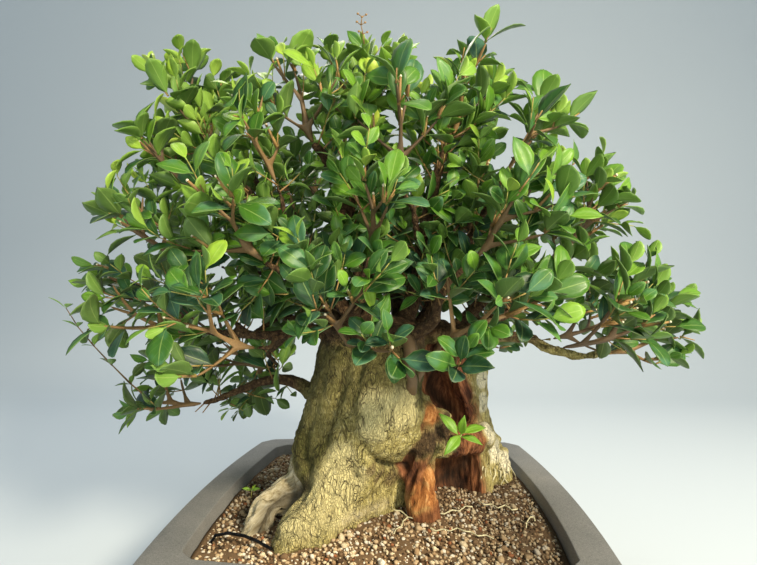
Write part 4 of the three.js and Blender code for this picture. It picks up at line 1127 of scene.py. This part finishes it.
bed = primitive("grid", x_subdivisions=BED_STEPS, y_subdivisions=BED_STEPS, size=2)
bed_points = points_of(bed.data)
u, v = bed_points[:, 0].copy(), bed_points[:, 1].copy()
bed_points[:, 0] = u * (BED_HALF - POT_BOW * v * v)
bed_points[:, 1] = v * (BED_HALF - POT_BOW * u * u)
lumps = LUMP_HEIGHT * layered_noise(bed_points + 0.5, 14 * MM)
bed_points[:, 2] = bed_height(bed_points[:, 0], bed_points[:, 1]) + lumps - BED_BELOW_GRIT
move_points(bed.data, bed_points)
foot_size = (BED_FOOT_SHARE, BED_FOOT_SHARE, 0)
with edit_mode(bed):
    bpy.ops.mesh.region_to_loop()
    bpy.ops.mesh.extrude_region_move(TRANSFORM_OT_translate={"value": (0, 0, -1 * MM)})
    bpy.ops.transform.resize(value=foot_size, center_override=(0, 0, soil_low.z))
    bpy.ops.mesh.edge_face_add()
    bpy.ops.mesh.select_all(action="SELECT")
    bpy.ops.mesh.normals_make_consistent(inside=False)
bpy.ops.object.shade_smooth()
note(bed.data, "tint", np.full(len(bed.data.vertices), BED_TINT))
finished(bed, "soil_bed", "soil", grit_material, replaced=["soil"])

# %% [markdown]
# Loose grit lies on the bed. A crumb is a small icosphere squeezed out of round; three patterns are
# enough. They are laid on a jittered grid, so that they nearly touch everywhere, at turns and sizes
# of their own, and not where a root comes out of the soil. Small stones lie among them.

# %% Crumbs and stones
CRUMB_ROUGHNESS = 0.42
CRUMBS_LOWERED = 1.4 * MM
grit_draw = random.Random(4)


def crumb_pattern(seed, subdivisions, material_index=0):
    piece = primitive("ico_sphere", subdivisions=subdivisions, radius=0.5)
    rough = random.Random(seed)
    for vertex in piece.data.vertices:
        vertex.co *= 1 + CRUMB_ROUGHNESS * (rough.random() - 0.5)
    return Pattern(piece, material_index)


def turned_stone(place, size):
    draw = grit_draw
    angle = draw.random() * 6.28
    axis = Vector((draw.random(), draw.random(), 1)).normalized()
    width = size * (0.7 + 0.3 * draw.random())
    height = size * (0.5 + 0.3 * draw.random())
    turn = Matrix.Rotation(angle, 4, axis)
    return Matrix.Translation(place) @ turn @ Matrix.Diagonal((size, width, height, 1))


def strew(patterns, spacing, sizes, sink, keep):
    """Lays stones over the bed, about one to each square of the spacing."""
    draw = grit_draw
    stamps = [[pattern, [], []] for pattern in patterns]
    steps = int(2 * BED_HALF / spacing)
    for i in range(steps):
        for j in range(steps):
            chance = draw.random()
            a = (i + draw.random()) / steps * 2 - 1
            b = (j + draw.random()) / steps * 2 - 1
            size = sizes[0] + (sizes[1] - sizes[0]) * draw.random() ** 2
            px = a * (BED_HALF - POT_BOW * b * b - size)
            py = b * (BED_HALF - POT_BOW * a * a - size)
            pz = float(bed_height(px, py)) + size * (0.5 - sink) - CRUMBS_LOWERED
            place = Vector((px, py, pz))
            stamp = stamps[draw.randrange(len(stamps))]
            matrix = turned_stone(place, size)
            number = draw.random()
            if chance < keep and not inside_wood(place):
                stamp[1].append(matrix)
                stamp[2].append(number)
    return stamps


fine = [crumb_pattern(seed, 1) for seed in (1, 2, 3)]
crumbs = strew(fine, spacing=3 * MM, sizes=(1.9 * MM, 4.6 * MM), sink=0.3, keep=0.95)
finished(stamped("crumbs", crumbs), "soil_crumbs", "soil", grit_material)
coarse = [crumb_pattern(seed, 2) for seed in (5, 6)]
stones = strew(coarse, spacing=13 * MM, sizes=(4.2 * MM, 7.2 * MM), sink=0.25, keep=0.45)
finished(stamped("stones", stones), "soil_stones", "soil", grit_material)

# %% [markdown]
# One privet leaf is modelled several times over: flat, folded, curled and slim. A grid is a leaf
# laid out: its rows are made wide or narrow for the blunt oval outline and lifted for the arch, and
# its halves are folded up along the midrib. It gets the thickness of a leaf and a short stalk. The
# leaves deep in the dome are the same with fewer faces.

# %% Leaf patterns
LEAF_COLUMNS = 4
INNER_COLUMNS = 2
BLUNT = [(0, 0.05), (0.12, 0.1), (0.27, 0.62), (0.46, 0.96), (0.66, 0.98), (0.85, 0.67), (0.97, 0.22)]
ACUTE = [(0, 0.05), (0.12, 0.1), (0.27, 0.72), (0.44, 1.0), (0.64, 0.9), (0.83, 0.52), (0.98, 0.06)]
LEAF_THICKNESS = 0.012
TIP_LENGTH = 0.03
OUT_OF_THE_WAY = 2
SAME_ROW = 1e-3


def leaf_pattern(outline, width_share, fold, arch, curl, columns=LEAF_COLUMNS):
    """A leaf one unit long, that starts at the origin and points along +Y, with its face up."""
    rows = len(outline) - 1
    blade = primitive("grid", x_subdivisions=columns, y_subdivisions=rows, size=1)
    with edit_mode(blade):
        for row, (along, width) in enumerate(outline):
            start = row / rows - 0.5
            pick(blade, lambda _, place: abs(place.y - start) < SAME_ROW and abs(place.z) < SAME_ROW)
            lift = arch * math.sin(math.pi * along) - curl * max(0.0, along - 0.5) ** 2
            bpy.ops.transform.resize(value=(width * width_share, 1, 1), center_override=(0, start, 0))
            bpy.ops.transform.translate(value=(0, along - start + OUT_OF_THE_WAY, lift))
    for vertex in blade.data.vertices:
        vertex.co.y -= OUT_OF_THE_WAY - 0.3 * vertex.co.x ** 2
        vertex.co.z += fold * abs(vertex.co.x)
        if vertex.co.y > 0.94 and abs(vertex.co.x) < 0.01:
            vertex.co.y += TIP_LENGTH
    reshape(blade, "SOLIDIFY", thickness=LEAF_THICKNESS, offset=-1)
    flat_map = blade.data.uv_layers.active.data
    for face in blade.data.polygons:
        if face.normal.z < -0.2:
            for corner in face.loop_indices:
                flat_map[corner].uv.x += UNDERSIDE_SHIFT
    return Pattern(blade)


leaf_patterns = [
    leaf_pattern(BLUNT, 0.56, 0.2, 0.03, 0.12),
    leaf_pattern(ACUTE, 0.5, 0.38, 0.02, 0.1),
    leaf_pattern(BLUNT, 0.6, 0.1, 0.05, 0.3),
    leaf_pattern(BLUNT, 0.46, 0.26, 0.04, 0.25),
]
slim_leaf = leaf_pattern(ACUTE, 0.36, 0.3, 0.05, 0.3)
inner_patterns = [
    leaf_pattern(BLUNT, 0.56, 0.2, 0.03, 0.12, INNER_COLUMNS),
    leaf_pattern(ACUTE, 0.5, 0.34, 0.02, 0.1, INNER_COLUMNS),
]
print("leaf faces:", [len(pattern.sizes) for pattern in leaf_patterns + inner_patterns])

# %% [markdown]
# A new shoot is a row of thin tapered stalks, one from each pair of leaves to the next. The stalk is
# modelled once, as a five-sided cylinder that is narrowed at its upper end.

# %% Shoot pattern
SHOOT_SIDES = 5
SHOOT_TAPER = 0.6
shoot_stalk = primitive("cylinder", vertices=SHOOT_SIDES, radius=0.5, depth=1, location=(0, 0, 0.5))
bpy.ops.object.transform_apply(location=True, rotation=False, scale=False)
with edit_mode(shoot_stalk):
    pick(shoot_stalk, lambda _, place: place.z > 0.9)
    bpy.ops.transform.resize(value=(SHOOT_TAPER, SHOOT_TAPER, 1), center_override=(0, 0, 1))
shoot_pattern = Pattern(shoot_stalk, TWIG_INDEX)

# %% [markdown]
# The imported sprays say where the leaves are. In each of them a leaf tip is a point where exactly
# three faces meet, and the two rings of points below it give the leaf's length, its way and the way
# that it faces. What is left when the leaves are taken off is the spray's own stem and twigs.

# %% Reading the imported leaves
NEAR_RING, FAR_RING = 0.34, 0.7
KEEL_DEPTH = 0.06
PackedLeaf = namedtuple("PackedLeaf", "start along facing length points")


def read_leaves(mesh):
    """The leaves of a packed spray: each has its start, way, facing, length and its points."""
    beside = [set() for _ in mesh.vertices]
    for edge in mesh.edges:
        a, b = edge.vertices
        beside[a].add(b)
        beside[b].add(a)
    place = [vertex.co for vertex in mesh.vertices]

    def edge_pair(ring):
        """The two points of a ring that are furthest apart, and the third, its keel."""
        a, b, c = ring
        return max([(a, b, c), (b, c, a), (a, c, b)], key=lambda p: (place[p[0]] - place[p[1]]).length)

    leaves = []
    for tip, around in enumerate(beside):
        if len(around) != 3:
            continue
        far_ring = sorted(around)
        near_ring = sorted(set().union(*(beside[i] for i in far_ring)) - set(far_ring) - {tip})
        if len(near_ring) != 3:
            continue
        left, right, keel = edge_pair(far_ring)
        far_middle = (place[left] + place[right]) / 2
        near_left, near_right, _ = edge_pair(near_ring)
        near_middle = (place[near_left] + place[near_right]) / 2
        reach = far_middle - near_middle
        length = reach.length / (FAR_RING - NEAR_RING)
        along = reach.normalized()
        facing = far_middle - place[keel]
        facing = (facing - along * facing.dot(along)).normalized()
        start = near_middle - along * NEAR_RING * length - facing * KEEL_DEPTH * length
        leaves.append(PackedLeaf(start, along, facing, length, {tip, *far_ring, *near_ring}))
    return leaves


def leaf_matrix(start, along, facing, length):
    facing = (facing - along * facing.dot(along)).normalized()
    side = along.cross(facing)
    turn = Matrix((side, along, facing)).transposed().to_4x4()
    return Matrix.Translation(start) @ turn @ Matrix.Scale(length, 4)


def stalk_matrix(start, along, length, thickness):
    turn = along.to_track_quat("Z", "X").to_matrix().to_4x4()
    return Matrix.Translation(start) @ turn @ Matrix.Diagonal((thickness, thickness, length, 1))


# %% [markdown]
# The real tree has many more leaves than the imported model. From the foot of each packed leaf grows
# a short shoot with leaves in opposite pairs, each pair square to the last, and the youngest ones
# at its end. A leaf is only kept where it stays inside the dome, clear of the wood, and not right
# on top of another, which is how a clipped dome grows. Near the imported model's box a leaf stays
# a little shorter.

# %% The dome and the light
DOMED = ("spray_row", "spray_top", "spray_inner")
crown_boxes = [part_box(name) for name in nodes if name.startswith(DOMED)]
crown_low = Vector(min(box[0][k] for box in crown_boxes) for k in range(3))
crown_high = Vector(max(box[1][k] for box in crown_boxes) for k in range(3))
WIDEST_Z = 250 * MM
DOME_SQUARENESS = 2.3
DOME_LEAN = (-0.09, 0.09)
CROWN_MARGIN = 1.5 * MM
BOX_MARGIN = 7 * MM
NEAR_BOX_SIZE = 0.88
LEAF_MIDDLE = 0.6
LEAF_ROOM = 7.5 * MM
CLEAR_OF_WOOD = 4 * MM
LEAF_SPACING = 11 * MM
STALK_WIDTH = 1.9 * MM
AGE_SPREAD = 0.12
AGE_GAIN = 0.26
TO_LIGHT = 0.10
WAVER = 0.13
OUTSIDE_DOME = 1.01
crown_middle = (crown_low + crown_high) / 2
crown_half = (crown_high - crown_low) / 2


def dome_share(point):
    """How far out a point is in the dome: 0 in its middle, 1 on its surface."""
    n = DOME_SQUARENESS
    rise = point.z - WIDEST_Z
    total = abs((point.x - crown_middle.x - DOME_LEAN[0] * rise) / crown_half.x) ** n
    total += abs((point.y - crown_middle.y - DOME_LEAN[1] * rise) / crown_half.y) ** n
    total += abs(rise / (crown_high.z - WIDEST_Z)) ** n
    return total ** (1 / n)


def in_box(point, low, high, margin=CROWN_MARGIN):
    return all(low[k] + margin < point[k] < high[k] - margin for k in range(3))


class Foliage:
    """Leaves and stalks gathered for one piece. Its leaves keep apart from all the others."""

    taken = {}
    CELL = 8 * MM

    def __init__(self, seed, low, high, domed=True, patterns=leaf_patterns):
        self.draw = random.Random(seed)
        self.low, self.high, self.domed = low, high, domed
        self.leaves = [[pattern, [], []] for pattern in patterns]
        self.stalks = [shoot_pattern, [], []]

    def cell(self, place):
        return tuple(int(c // self.CELL) for c in place)

    def free(self, middle):
        """True if no other leaf has its middle too near to this one."""
        for shift in np.ndindex(3, 3, 3):
            key = tuple(c + s - 1 for c, s in zip(self.cell(middle), shift))
            for other in Foliage.taken.get(key, ()):
                if (other - middle).length < LEAF_ROOM:
                    return False
        return True

    def fits(self, tip, middle):
        """True if a leaf stays in its room, apart from other leaves and clear of the wood."""
        if not all(in_box(place, self.low, self.high) for place in (tip, middle)):
            return False
        if self.domed and dome_share(tip) > OUTSIDE_DOME:
            return False
        return self.free(middle) and wood_tree.find_nearest(middle)[3] >= CLEAR_OF_WOOD

    def add_leaf(self, start, along, facing, length, age, sure=False):
        """Adds a leaf if it fits, or in any case where it is sure. Says whether it did."""
        if not in_box(start + along * length, cad_low, cad_high, BOX_MARGIN):
            length *= NEAR_BOX_SIZE
        middle = start + along * length * LEAF_MIDDLE
        if not sure and not self.fits(start + along * length, middle):
            return False
        Foliage.taken.setdefault(self.cell(middle), []).append(middle)
        stamp = self.leaves[self.draw.randrange(len(self.leaves))]
        stamp[1].append(leaf_matrix(start, along, facing, length))
        stamp[2].append(min(max(age, 0.0), 1.0))
        return True

    def add_stalk(self, start, end, thickness, age):
        reach = end - start
        self.stalks[1].append(stalk_matrix(start, reach.normalized(), reach.length, thickness))
        self.stalks[2].append(age)

    def grow_shoot(self, start, way, length, leaf_length, age):
        """A shoot with pairs of leaves, that bends towards the light as it grows."""
        draw = self.draw
        count = max(2, round(length / LEAF_SPACING))
        roll = draw.random() * math.pi
        place = start.copy()
        for number in range(count):
            share = (number + 1) / count
            way = (way + UP * TO_LIGHT + jitter(draw, WAVER)).normalized()
            pair_at = place + way * LEAF_SPACING * draw.uniform(0.85, 1.15)
            grown = False
            across = way.orthogonal().normalized()
            across.rotate(Matrix.Rotation(roll, 3, way))
            roll += math.pi / 2 + draw.uniform(-0.3, 0.3)
            size = leaf_length * (1.0 - 0.3 * share) * draw.uniform(0.8, 1.15)
            for side in (1, -1):
                lean = draw.uniform(0.75, 1.15) - 0.25 * share
                along = (way * math.cos(lean) + across * side * math.sin(lean)).normalized()
                outward = Vector((place.x * 0.6, place.y, 0)).normalized()
                facing = UP * 0.7 + outward * 0.8 + jitter(draw, 0.6)
                leaf_age = age + AGE_GAIN * share + draw.gauss(0, AGE_SPREAD)
                grown |= self.add_leaf(pair_at, along, facing, size, leaf_age)
            if not grown and number:
                break
            self.add_stalk(place, pair_at, STALK_WIDTH * (1 - 0.4 * share), 0.2 + 0.5 * share)
            place = pair_at
        facing = UP * 0.4 + way.orthogonal()
        self.add_leaf(place, way, facing, leaf_length * draw.uniform(0.5, 0.7), age + 0.35)

    def cut_stub(self, start, way, length, thickness):
        """A twig that was pruned: a bare stub with a cream end."""
        end = start + way * length
        self.add_stalk(start, end, thickness, self.draw.uniform(0.3, 0.5))
        self.add_stalk(end - way * 0.2 * MM, end + way * 1.2 * MM, thickness * 0.8, 1.0)

    def stamps(self):
        return [*self.leaves, self.stalks]


# %% [markdown]
# Each spray is finished in turn. Its packed leaves become fine ones at the same places, its wood is
# rounded, and the short shoots fill the room between them, with a pruned stub here and there.
# Leaves far out are young and bright, and those inside older and darker. Leaves high up are painted
# brighter, as painted light, and the low ones darker, as painted shade.

# %% Sprays
SHOOT_LENGTH = (22 * MM, 42 * MM)
SHOOT_LEAF = (22 * MM, 35 * MM)
STUB_CHANCE = 0.5
STUB_ROOM = 18 * MM
STUB_LENGTH = (10, 20)
STUB_WIDTH = (2.4, 3.6)
STEM_GROWTH = 0.45 * MM
LOW_LEAVES = 330 * MM
LOW_FADE = 80 * MM


def at_depth(pixel, y):
    """The point seen at a pixel that lies at a depth y, in millimetres."""
    way = ray_through(pixel)
    return EYE + way * ((y * MM - EYE.y) / way.y)


def light_age(point):
    """The age number of a leaf for its place: painted light high in the dome, painted shade low in it."""
    out = min(dome_share(point), 1.0)
    high = (point.z - crown_low.z) / (crown_high.z - crown_low.z)
    # Low leaves get a smaller number and are painted darker, as painted shade; high ones a larger one and
    # are painted brighter, as painted light.
    shade = 0.1 * min(max((LOW_LEAVES - point.z) / LOW_FADE, 0.0), 1.0)
    return 0.1 + 0.36 * max(0.0, out - 0.45) + 0.2 * high - shade


def wood_of_spray(piece, leaves):
    """The stem and twigs of a spray: its leaves are taken off, and the rest is closed and rounded."""
    leaf_points = set().union(*(found.points for found in leaves))
    with edit_mode(piece):
        pick(piece, lambda number, _: number in leaf_points)
        bpy.ops.mesh.delete(type="VERT")
        bpy.ops.mesh.select_all(action="SELECT")
        bpy.ops.mesh.fill_holes(sides=4)
        bpy.ops.mesh.select_all(action="SELECT")
        bpy.ops.transform.shrink_fatten(value=STEM_GROWTH)
    reshape(piece, "SUBSURF", levels=1, render_levels=1)
    return Pattern(piece, TWIG_INDEX)


def finished_leaves(stamps, name, replaced=()):
    """A finished piece of leaves and twigs. Says how many leaves it has."""
    piece = stamped(name, stamps)
    finished(piece, name, "leaves", leaf_material, twig_material, replaced=replaced)
    return sum(len(matrices) for pattern, matrices, _ in stamps if pattern.material_index != TWIG_INDEX)


def dress_spray(name, number):
    piece = merged_copy(nodes[name])
    leaves = read_leaves(piece.data)
    domed = name.startswith(DOMED)
    low, high = (crown_low, crown_high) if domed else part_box(name)
    foliage = Foliage(500 + number, low, high, domed)
    draw = foliage.draw
    stem = wood_of_spray(piece, leaves)
    for start, along, facing, length, _ in leaves:
        age = light_age(start) + draw.gauss(0, AGE_SPREAD)
        foliage.add_leaf(start, along, facing, length, age, sure=True)
    for start, along, *_ in leaves:
        outward = (start - Vector((0, 0, 0.2))).normalized()
        way = (along * 0.7 + outward * 0.7 + jitter(draw, 0.5)).normalized()
        age = light_age(start) + draw.uniform(-0.05, 0.1)
        foliage.grow_shoot(start, way, draw.uniform(*SHOOT_LENGTH), draw.uniform(*SHOOT_LEAF), age)
        if draw.random() < STUB_CHANCE and dome_share(start + outward * STUB_ROOM) < 1:
            length = draw.uniform(*STUB_LENGTH) * MM
            foliage.cut_stub(start, outward, length, draw.uniform(*STUB_WIDTH) * MM)
    twig_stamp = (stem, [Matrix.Identity(4)], [draw.uniform(0.08, 0.36)])
    stamps = [*foliage.stamps(), twig_stamp]
    return finished_leaves(stamps, name.replace("spray", "leaves"), [name])


spray_names = sorted(name for name in nodes if name.startswith("spray"))
leaf_total = sum(dress_spray(name, number) for number, name in enumerate(spray_names))
print("leaves on the sprays:", leaf_total)

# %% [markdown]
# Deeper in the dome small side shoots grow straight out of the limbs. They start on the finished
# wood, and point away from it and up. More of them grow towards the places where the dome is
# closed, each given as a pixel and a depth, and some stand along the low limb at the left.

# %% Inner shoots
INNER_SHOOTS = 330
INNER_FROM = 250 * MM
INNER_LENGTH = (22 * MM, 46 * MM)
FILL_SHOOTS = 7
FILL_ROOM = 18 * MM
FILL_PAST = 14 * MM
FILL_LONGEST = 110 * MM
FILL_MARKS = [
    ((385, 100), -40), ((392, 130), -30), ((382, 75), -20), ((246, 306), -40), ((216, 232), -50),
    ((150, 172), -10), ((508, 118), -20), ((200, 72), -10), ((215, 50), 0), ((430, 40), -10),
    ((415, 30), -5), ((450, 35), 0),
]
LOW_SHOOTS = 22
LOW_ROOM = (Vector((-205, -45, 150)) * MM, Vector((-90, 85, 234)) * MM)
LOW_TO = -100 * MM
LOW_LENGTH = (24 * MM, 44 * MM)
LOW_AGE = 0.2


def foot_of(face):
    """The place on the wood where a shoot starts that grows out of a face."""
    return wood_mesh.vertices[face.vertices[0]].co.copy()


def grow_out(foliage, faces, count, lift, lengths, age=None):
    """Shoots out of faces of the wood that are picked at random."""
    draw = foliage.draw
    for _ in range(count):
        face = faces[draw.randrange(len(faces))]
        start = foot_of(face)
        way = (face.normal + UP * lift + jitter(draw, 0.4)).normalized()
        length = draw.uniform(*lengths)
        shoot_age = light_age(start) + 0.05 if age is None else age
        foliage.grow_shoot(start - way * 1 * MM, way, length, draw.uniform(*SHOOT_LEAF), shoot_age)


inner = Foliage(77, crown_low, crown_high, patterns=inner_patterns)
limb_faces = [face for face in wood_mesh.loop_triangles if foot_of(face).z > INNER_FROM]
grow_out(inner, limb_faces, INNER_SHOOTS, 0.5, INNER_LENGTH)
for pixel, depth in FILL_MARKS:
    for _ in range(FILL_SHOOTS):
        target = at_depth(pixel, depth) + jitter(inner.draw, FILL_ROOM)
        start = wood_tree.find_nearest(target)[0]
        length = (target - start).length + FILL_PAST
        if length < FILL_LONGEST:
            way = (target - start).normalized()
            leaf_length = inner.draw.uniform(*SHOOT_LEAF)
            inner.grow_shoot(start, way, length, leaf_length, light_age(target))

low_limb = Foliage(78, *LOW_ROOM, domed=False, patterns=inner_patterns)
low_faces = [
    face for face in wood_mesh.loop_triangles
    if in_box(foot_of(face), *LOW_ROOM) and foot_of(face).x < LOW_TO
]
grow_out(low_limb, low_faces, LOW_SHOOTS, 0.6, LOW_LENGTH, LOW_AGE)
leaf_total = finished_leaves(inner.stamps() + low_limb.stamps(), "leaves_on_limbs")
print("leaves on the limbs:", leaf_total)

# %% [markdown]
# A young shoot stands in the hollow, with slim leaves of a fresh green.

# %% Shoot in the hollow
SUCKER_AGE = 0.62
SUCKER_TWIG_AGE = 0.9

sucker_copy = merged_copy(nodes["base_shoot"])
sucker_leaves = read_leaves(sucker_copy.data)
sucker = Foliage(9, *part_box("base_shoot"), domed=False, patterns=[slim_leaf])
sucker_stem = wood_of_spray(sucker_copy, sucker_leaves)
for start, along, facing, length, _ in sucker_leaves:
    sucker.add_leaf(start, along, facing, length, SUCKER_AGE, sure=True)
sucker_stamps = [*sucker.stamps(), (sucker_stem, [Matrix.Identity(4)], [SUCKER_TWIG_AGE])]
finished_leaves(sucker_stamps, "sucker_leaves", ["base_shoot"])

# %% [markdown]
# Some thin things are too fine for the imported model: two short old limbs beside the hollow, rootlets
# that hang from the living strip and lie on the soil, a long thin twig, a seedling and the stalk of
# last year's flowers. A stem is a single point that is extruded along a route of points, and gets a
# round skin.

# %% Stems
STEM_START = 0.1 * MM


def grown_stem(route, thickness, rounds):
    """A round stem along a route, with its thickness at each point, rounded a few times."""
    stem = primitive("plane", size=STEM_START)
    with edit_mode(stem):
        bpy.ops.mesh.merge(type="CENTER")
        bpy.ops.transform.translate(value=route[0])
        for here, there in zip(route, route[1:]):
            bpy.ops.mesh.extrude_region_move(TRANSFORM_OT_translate={"value": there - here})
    stem.modifiers.new("skin", "SKIN").use_smooth_shade = True
    for point, across in zip(stem.data.skin_vertices[0].data, thickness):
        point.radius = (across / 2, across / 2)
    if rounds:
        stem.modifiers.new("rounded", "SUBSURF").levels = rounds
    apply_modifiers(stem)
    return stem


def joined(stems, tint):
    """The stems as one piece, with one number for the finish of them all."""
    only(*stems)
    if len(stems) > 1:
        bpy.ops.object.join()
    piece = bpy.context.object
    note(piece.data, "tint", np.full(len(piece.data.vertices), tint))
    return piece


def on_wood(pixel):
    """The point of the finished wood that is seen at a pixel, or the nearest one to it."""
    hit = wood_tree.ray_cast(EYE, ray_through(pixel))[0]
    return hit if hit is not None else wood_tree.find_nearest(at_depth(pixel, 20))[0]


def on_soil(pixel, lift):
    """The point seen at a pixel that is a lift, in millimetres, above the soil bed."""
    way = ray_through(pixel)
    place = EYE + way * ARM_LENGTH
    for _ in range(4):
        level = float(bed_height(place.x, place.y)) + lift * MM
        place = EYE + way * ((level - EYE.z) / way.z)
    return place


# %% Old limbs beside the hollow
OLD_TINT = 0.14
OLD_ROUGHNESS = 1.1 * MM
OLD_LIMBS = [
    ([(411, 394), (412, 382), (409, 366), (411, 350), (407, 334)], [8, 12, 10, 9.5, 9]),
    ([(416, 384), (420, 372), (428, 362), (436, 351), (442, 338)], [6, 7, 6, 6, 5.5]),
]
old_limbs = []
for pixels, widths in OLD_LIMBS:
    lifts = [-0.7, *[0.3] * (len(widths) - 1)]
    route = [on_wood(p) - ray_through(p) * w * lift * MM for p, w, lift in zip(pixels, widths, lifts)]
    old_limbs.append(grown_stem(route, [width * MM for width in widths], 2))
old_piece = joined(old_limbs, OLD_TINT)
old_points = points_of(old_piece.data)
rough = OLD_ROUGHNESS * layered_noise(old_points, 5 * MM)
move_points(old_piece.data, old_points + normals_of(old_piece.data) * rough[:, None])
finished(old_piece, "old_limbs", "wood", twig_material)

# %% Rootlets
SOIL_ROOTS = [
    [(388, 504), (394, 510), (401, 511), (408, 517), (416, 519), (423, 516), (430, 517), (437, 513),
     (444, 514), (452, 510), (459, 511), (466, 506), (473, 507)],
    [(430, 528), (436, 531), (443, 529), (450, 531), (457, 528), (464, 531), (471, 532), (478, 536),
     (486, 535), (494, 539)],
    [(478, 500), (484, 505), (491, 504), (498, 508), (505, 505), (512, 510), (518, 509)],
    [(526, 528), (527, 522), (530, 517), (534, 517), (535, 521)],
    [(408, 517), (403, 521), (402, 526), (396, 529), (394, 534)],
]
HANGING = [
    ((483, 466), (481, 491)), ((485, 468), (486, 486)), ((487, 466), (484, 482)),
    ((490, 470), (491, 485)), ((494, 468), (492, 486)), ((498, 470), (500, 482)),
    ((502, 468), (501, 485)), ((505, 470), (508, 483)), ((507, 468), (511, 479)),
    ((508, 466), (516, 477)),
]
LYING_LIFT = (1.2, 2.8)
LYING_WIDTH = (0.8, 1.3)
HANGING_WIDTH = (0.6, 1.2)
KINK = 1.6
ROOT_TINT = 0.96

thin_draw = random.Random(12)
roots = []
for pixels in SOIL_ROOTS:
    route = [on_soil(pixel, thin_draw.uniform(*LYING_LIFT)) for pixel in pixels]
    roots.append(grown_stem(route, [thin_draw.uniform(*LYING_WIDTH) * MM for _ in route], 1))
for top, foot in HANGING:
    start, end = on_wood(top), on_soil(foot, 0.5)
    bulge = Vector([thin_draw.uniform(*reach) for reach in ((-3, 3), (-6, -3), (-1, 3))]) * MM
    middle = (start + end) / 2 + bulge
    width = thin_draw.uniform(*HANGING_WIDTH) * MM
    route = [start, (start + middle) / 2 + bulge * 0.4, middle, (middle + end) / 2, end]
    for place in route[1:4]:
        place += jitter(thin_draw, KINK) * MM
    roots.append(grown_stem(route, [width] * 4 + [width * 0.6], 0))
finished(joined(roots, ROOT_TINT), "rootlets", "wood", twig_material)

# %% [markdown]
# At the lower left one long thin twig has grown out of the dome, with a few small leaves in pairs.

# %% Long twig
TWIG_MARKS = [
    ((150, 400), 10), ((131, 384), -4), ((112, 365), -20), ((94, 346), -36), ((78, 327), -54),
    ((66, 308), -72),
]
TWIG_WIDTH = (2.2 * MM, 1.1 * MM)
TWIG_TINT = 0.25
PAIR_LENGTH = (9 * MM, 15 * MM)

long_twig = Foliage(31, cad_low, cad_high, domed=False)
places = [at_depth(*mark) for mark in TWIG_MARKS]
for number, (here, there) in enumerate(zip(places, places[1:])):
    share = number / (len(places) - 2)
    way = (there - here).normalized()
    width = TWIG_WIDTH[0] + (TWIG_WIDTH[1] - TWIG_WIDTH[0]) * share
    long_twig.add_stalk(here, there, width, TWIG_TINT)
    across = way.cross(UP if number % 2 else Vector((0, -1, 0.4))).normalized()
    for side in (1, -1):
        along = (way + across * side * 1.1).normalized()
        length = long_twig.draw.uniform(*PAIR_LENGTH)
        long_twig.add_leaf(there, along, UP, length, 0.3 + 0.3 * share, sure=True)
finished_leaves(long_twig.stamps(), "leaves_long_twig")

# %% [markdown]
# A seedling with four small leaves stands on the soil at the left, and at the dome's top rises the
# bare stalk of last year's flowers, with a pair of buds at each of its joints and one at its end.

# %% Seedling and flower stalk
SEEDLING_AT = (251, 499)
SEEDLING_RISE = Vector((1, -1, 8)) * MM
SEEDLING_WIDTH = 1 * MM
WIDE_LENGTH, WIDE_AGE = 9 * MM, 0.7
TALL_LENGTH, TALL_AGE = 7 * MM, 0.8
FLOWER_MARKS = [((364, 44), -56), ((363, 34), -58), ((361, 25), -58), ((362, 17), -60)]
STALK_SIZE = 0.9 * MM
STALK_TINT = 0.3
BUD_SIZE = 2.2 * MM
BUD_TINT = 0.4

small = Foliage(15, cad_low, cad_high, domed=False, patterns=[slim_leaf])
root_place = on_soil(SEEDLING_AT, 0)
shoot_top = root_place + SEEDLING_RISE
small.add_stalk(root_place, shoot_top, SEEDLING_WIDTH, 0.7)
for side in (1, -1):
    wide = Vector((side, -0.3, 0.35)).normalized()
    small.add_leaf(shoot_top, wide, Vector((0, -0.8, 1)), WIDE_LENGTH, WIDE_AGE, sure=True)
    tall = Vector((0.3 * side, side, 0.6)).normalized()
    small.add_leaf(shoot_top, tall, UP, TALL_LENGTH, TALL_AGE, sure=True)
buds = []
places = [at_depth(*mark) for mark in FLOWER_MARKS]
for here, there in zip(places, places[1:]):
    small.add_stalk(here, there, STALK_SIZE * 1.4, STALK_TINT)
    for side in (1, -1):
        tip = there + Vector((side * 3.5, thin_draw.uniform(-2, 2), 2.5)) * MM
        small.add_stalk(there, tip, STALK_SIZE, STALK_TINT)
        buds.append(Matrix.Translation(tip) @ Matrix.Scale(BUD_SIZE, 4))
buds.append(Matrix.Translation(places[-1]) @ Matrix.Scale(BUD_SIZE, 4))
bud_stamp = (crumb_pattern(3, 1, TWIG_INDEX), buds, [BUD_TINT] * len(buds))
finished_leaves([*small.stamps(), bud_stamp], "seedling_and_flower_stalk")

# %% [markdown]
# The box of the imported model is printed. The visual model may not outgrow the imported one.

# %% Sizes and end
print("packed box:", [round(c, 4) for c in (*cad_low, *cad_high)])
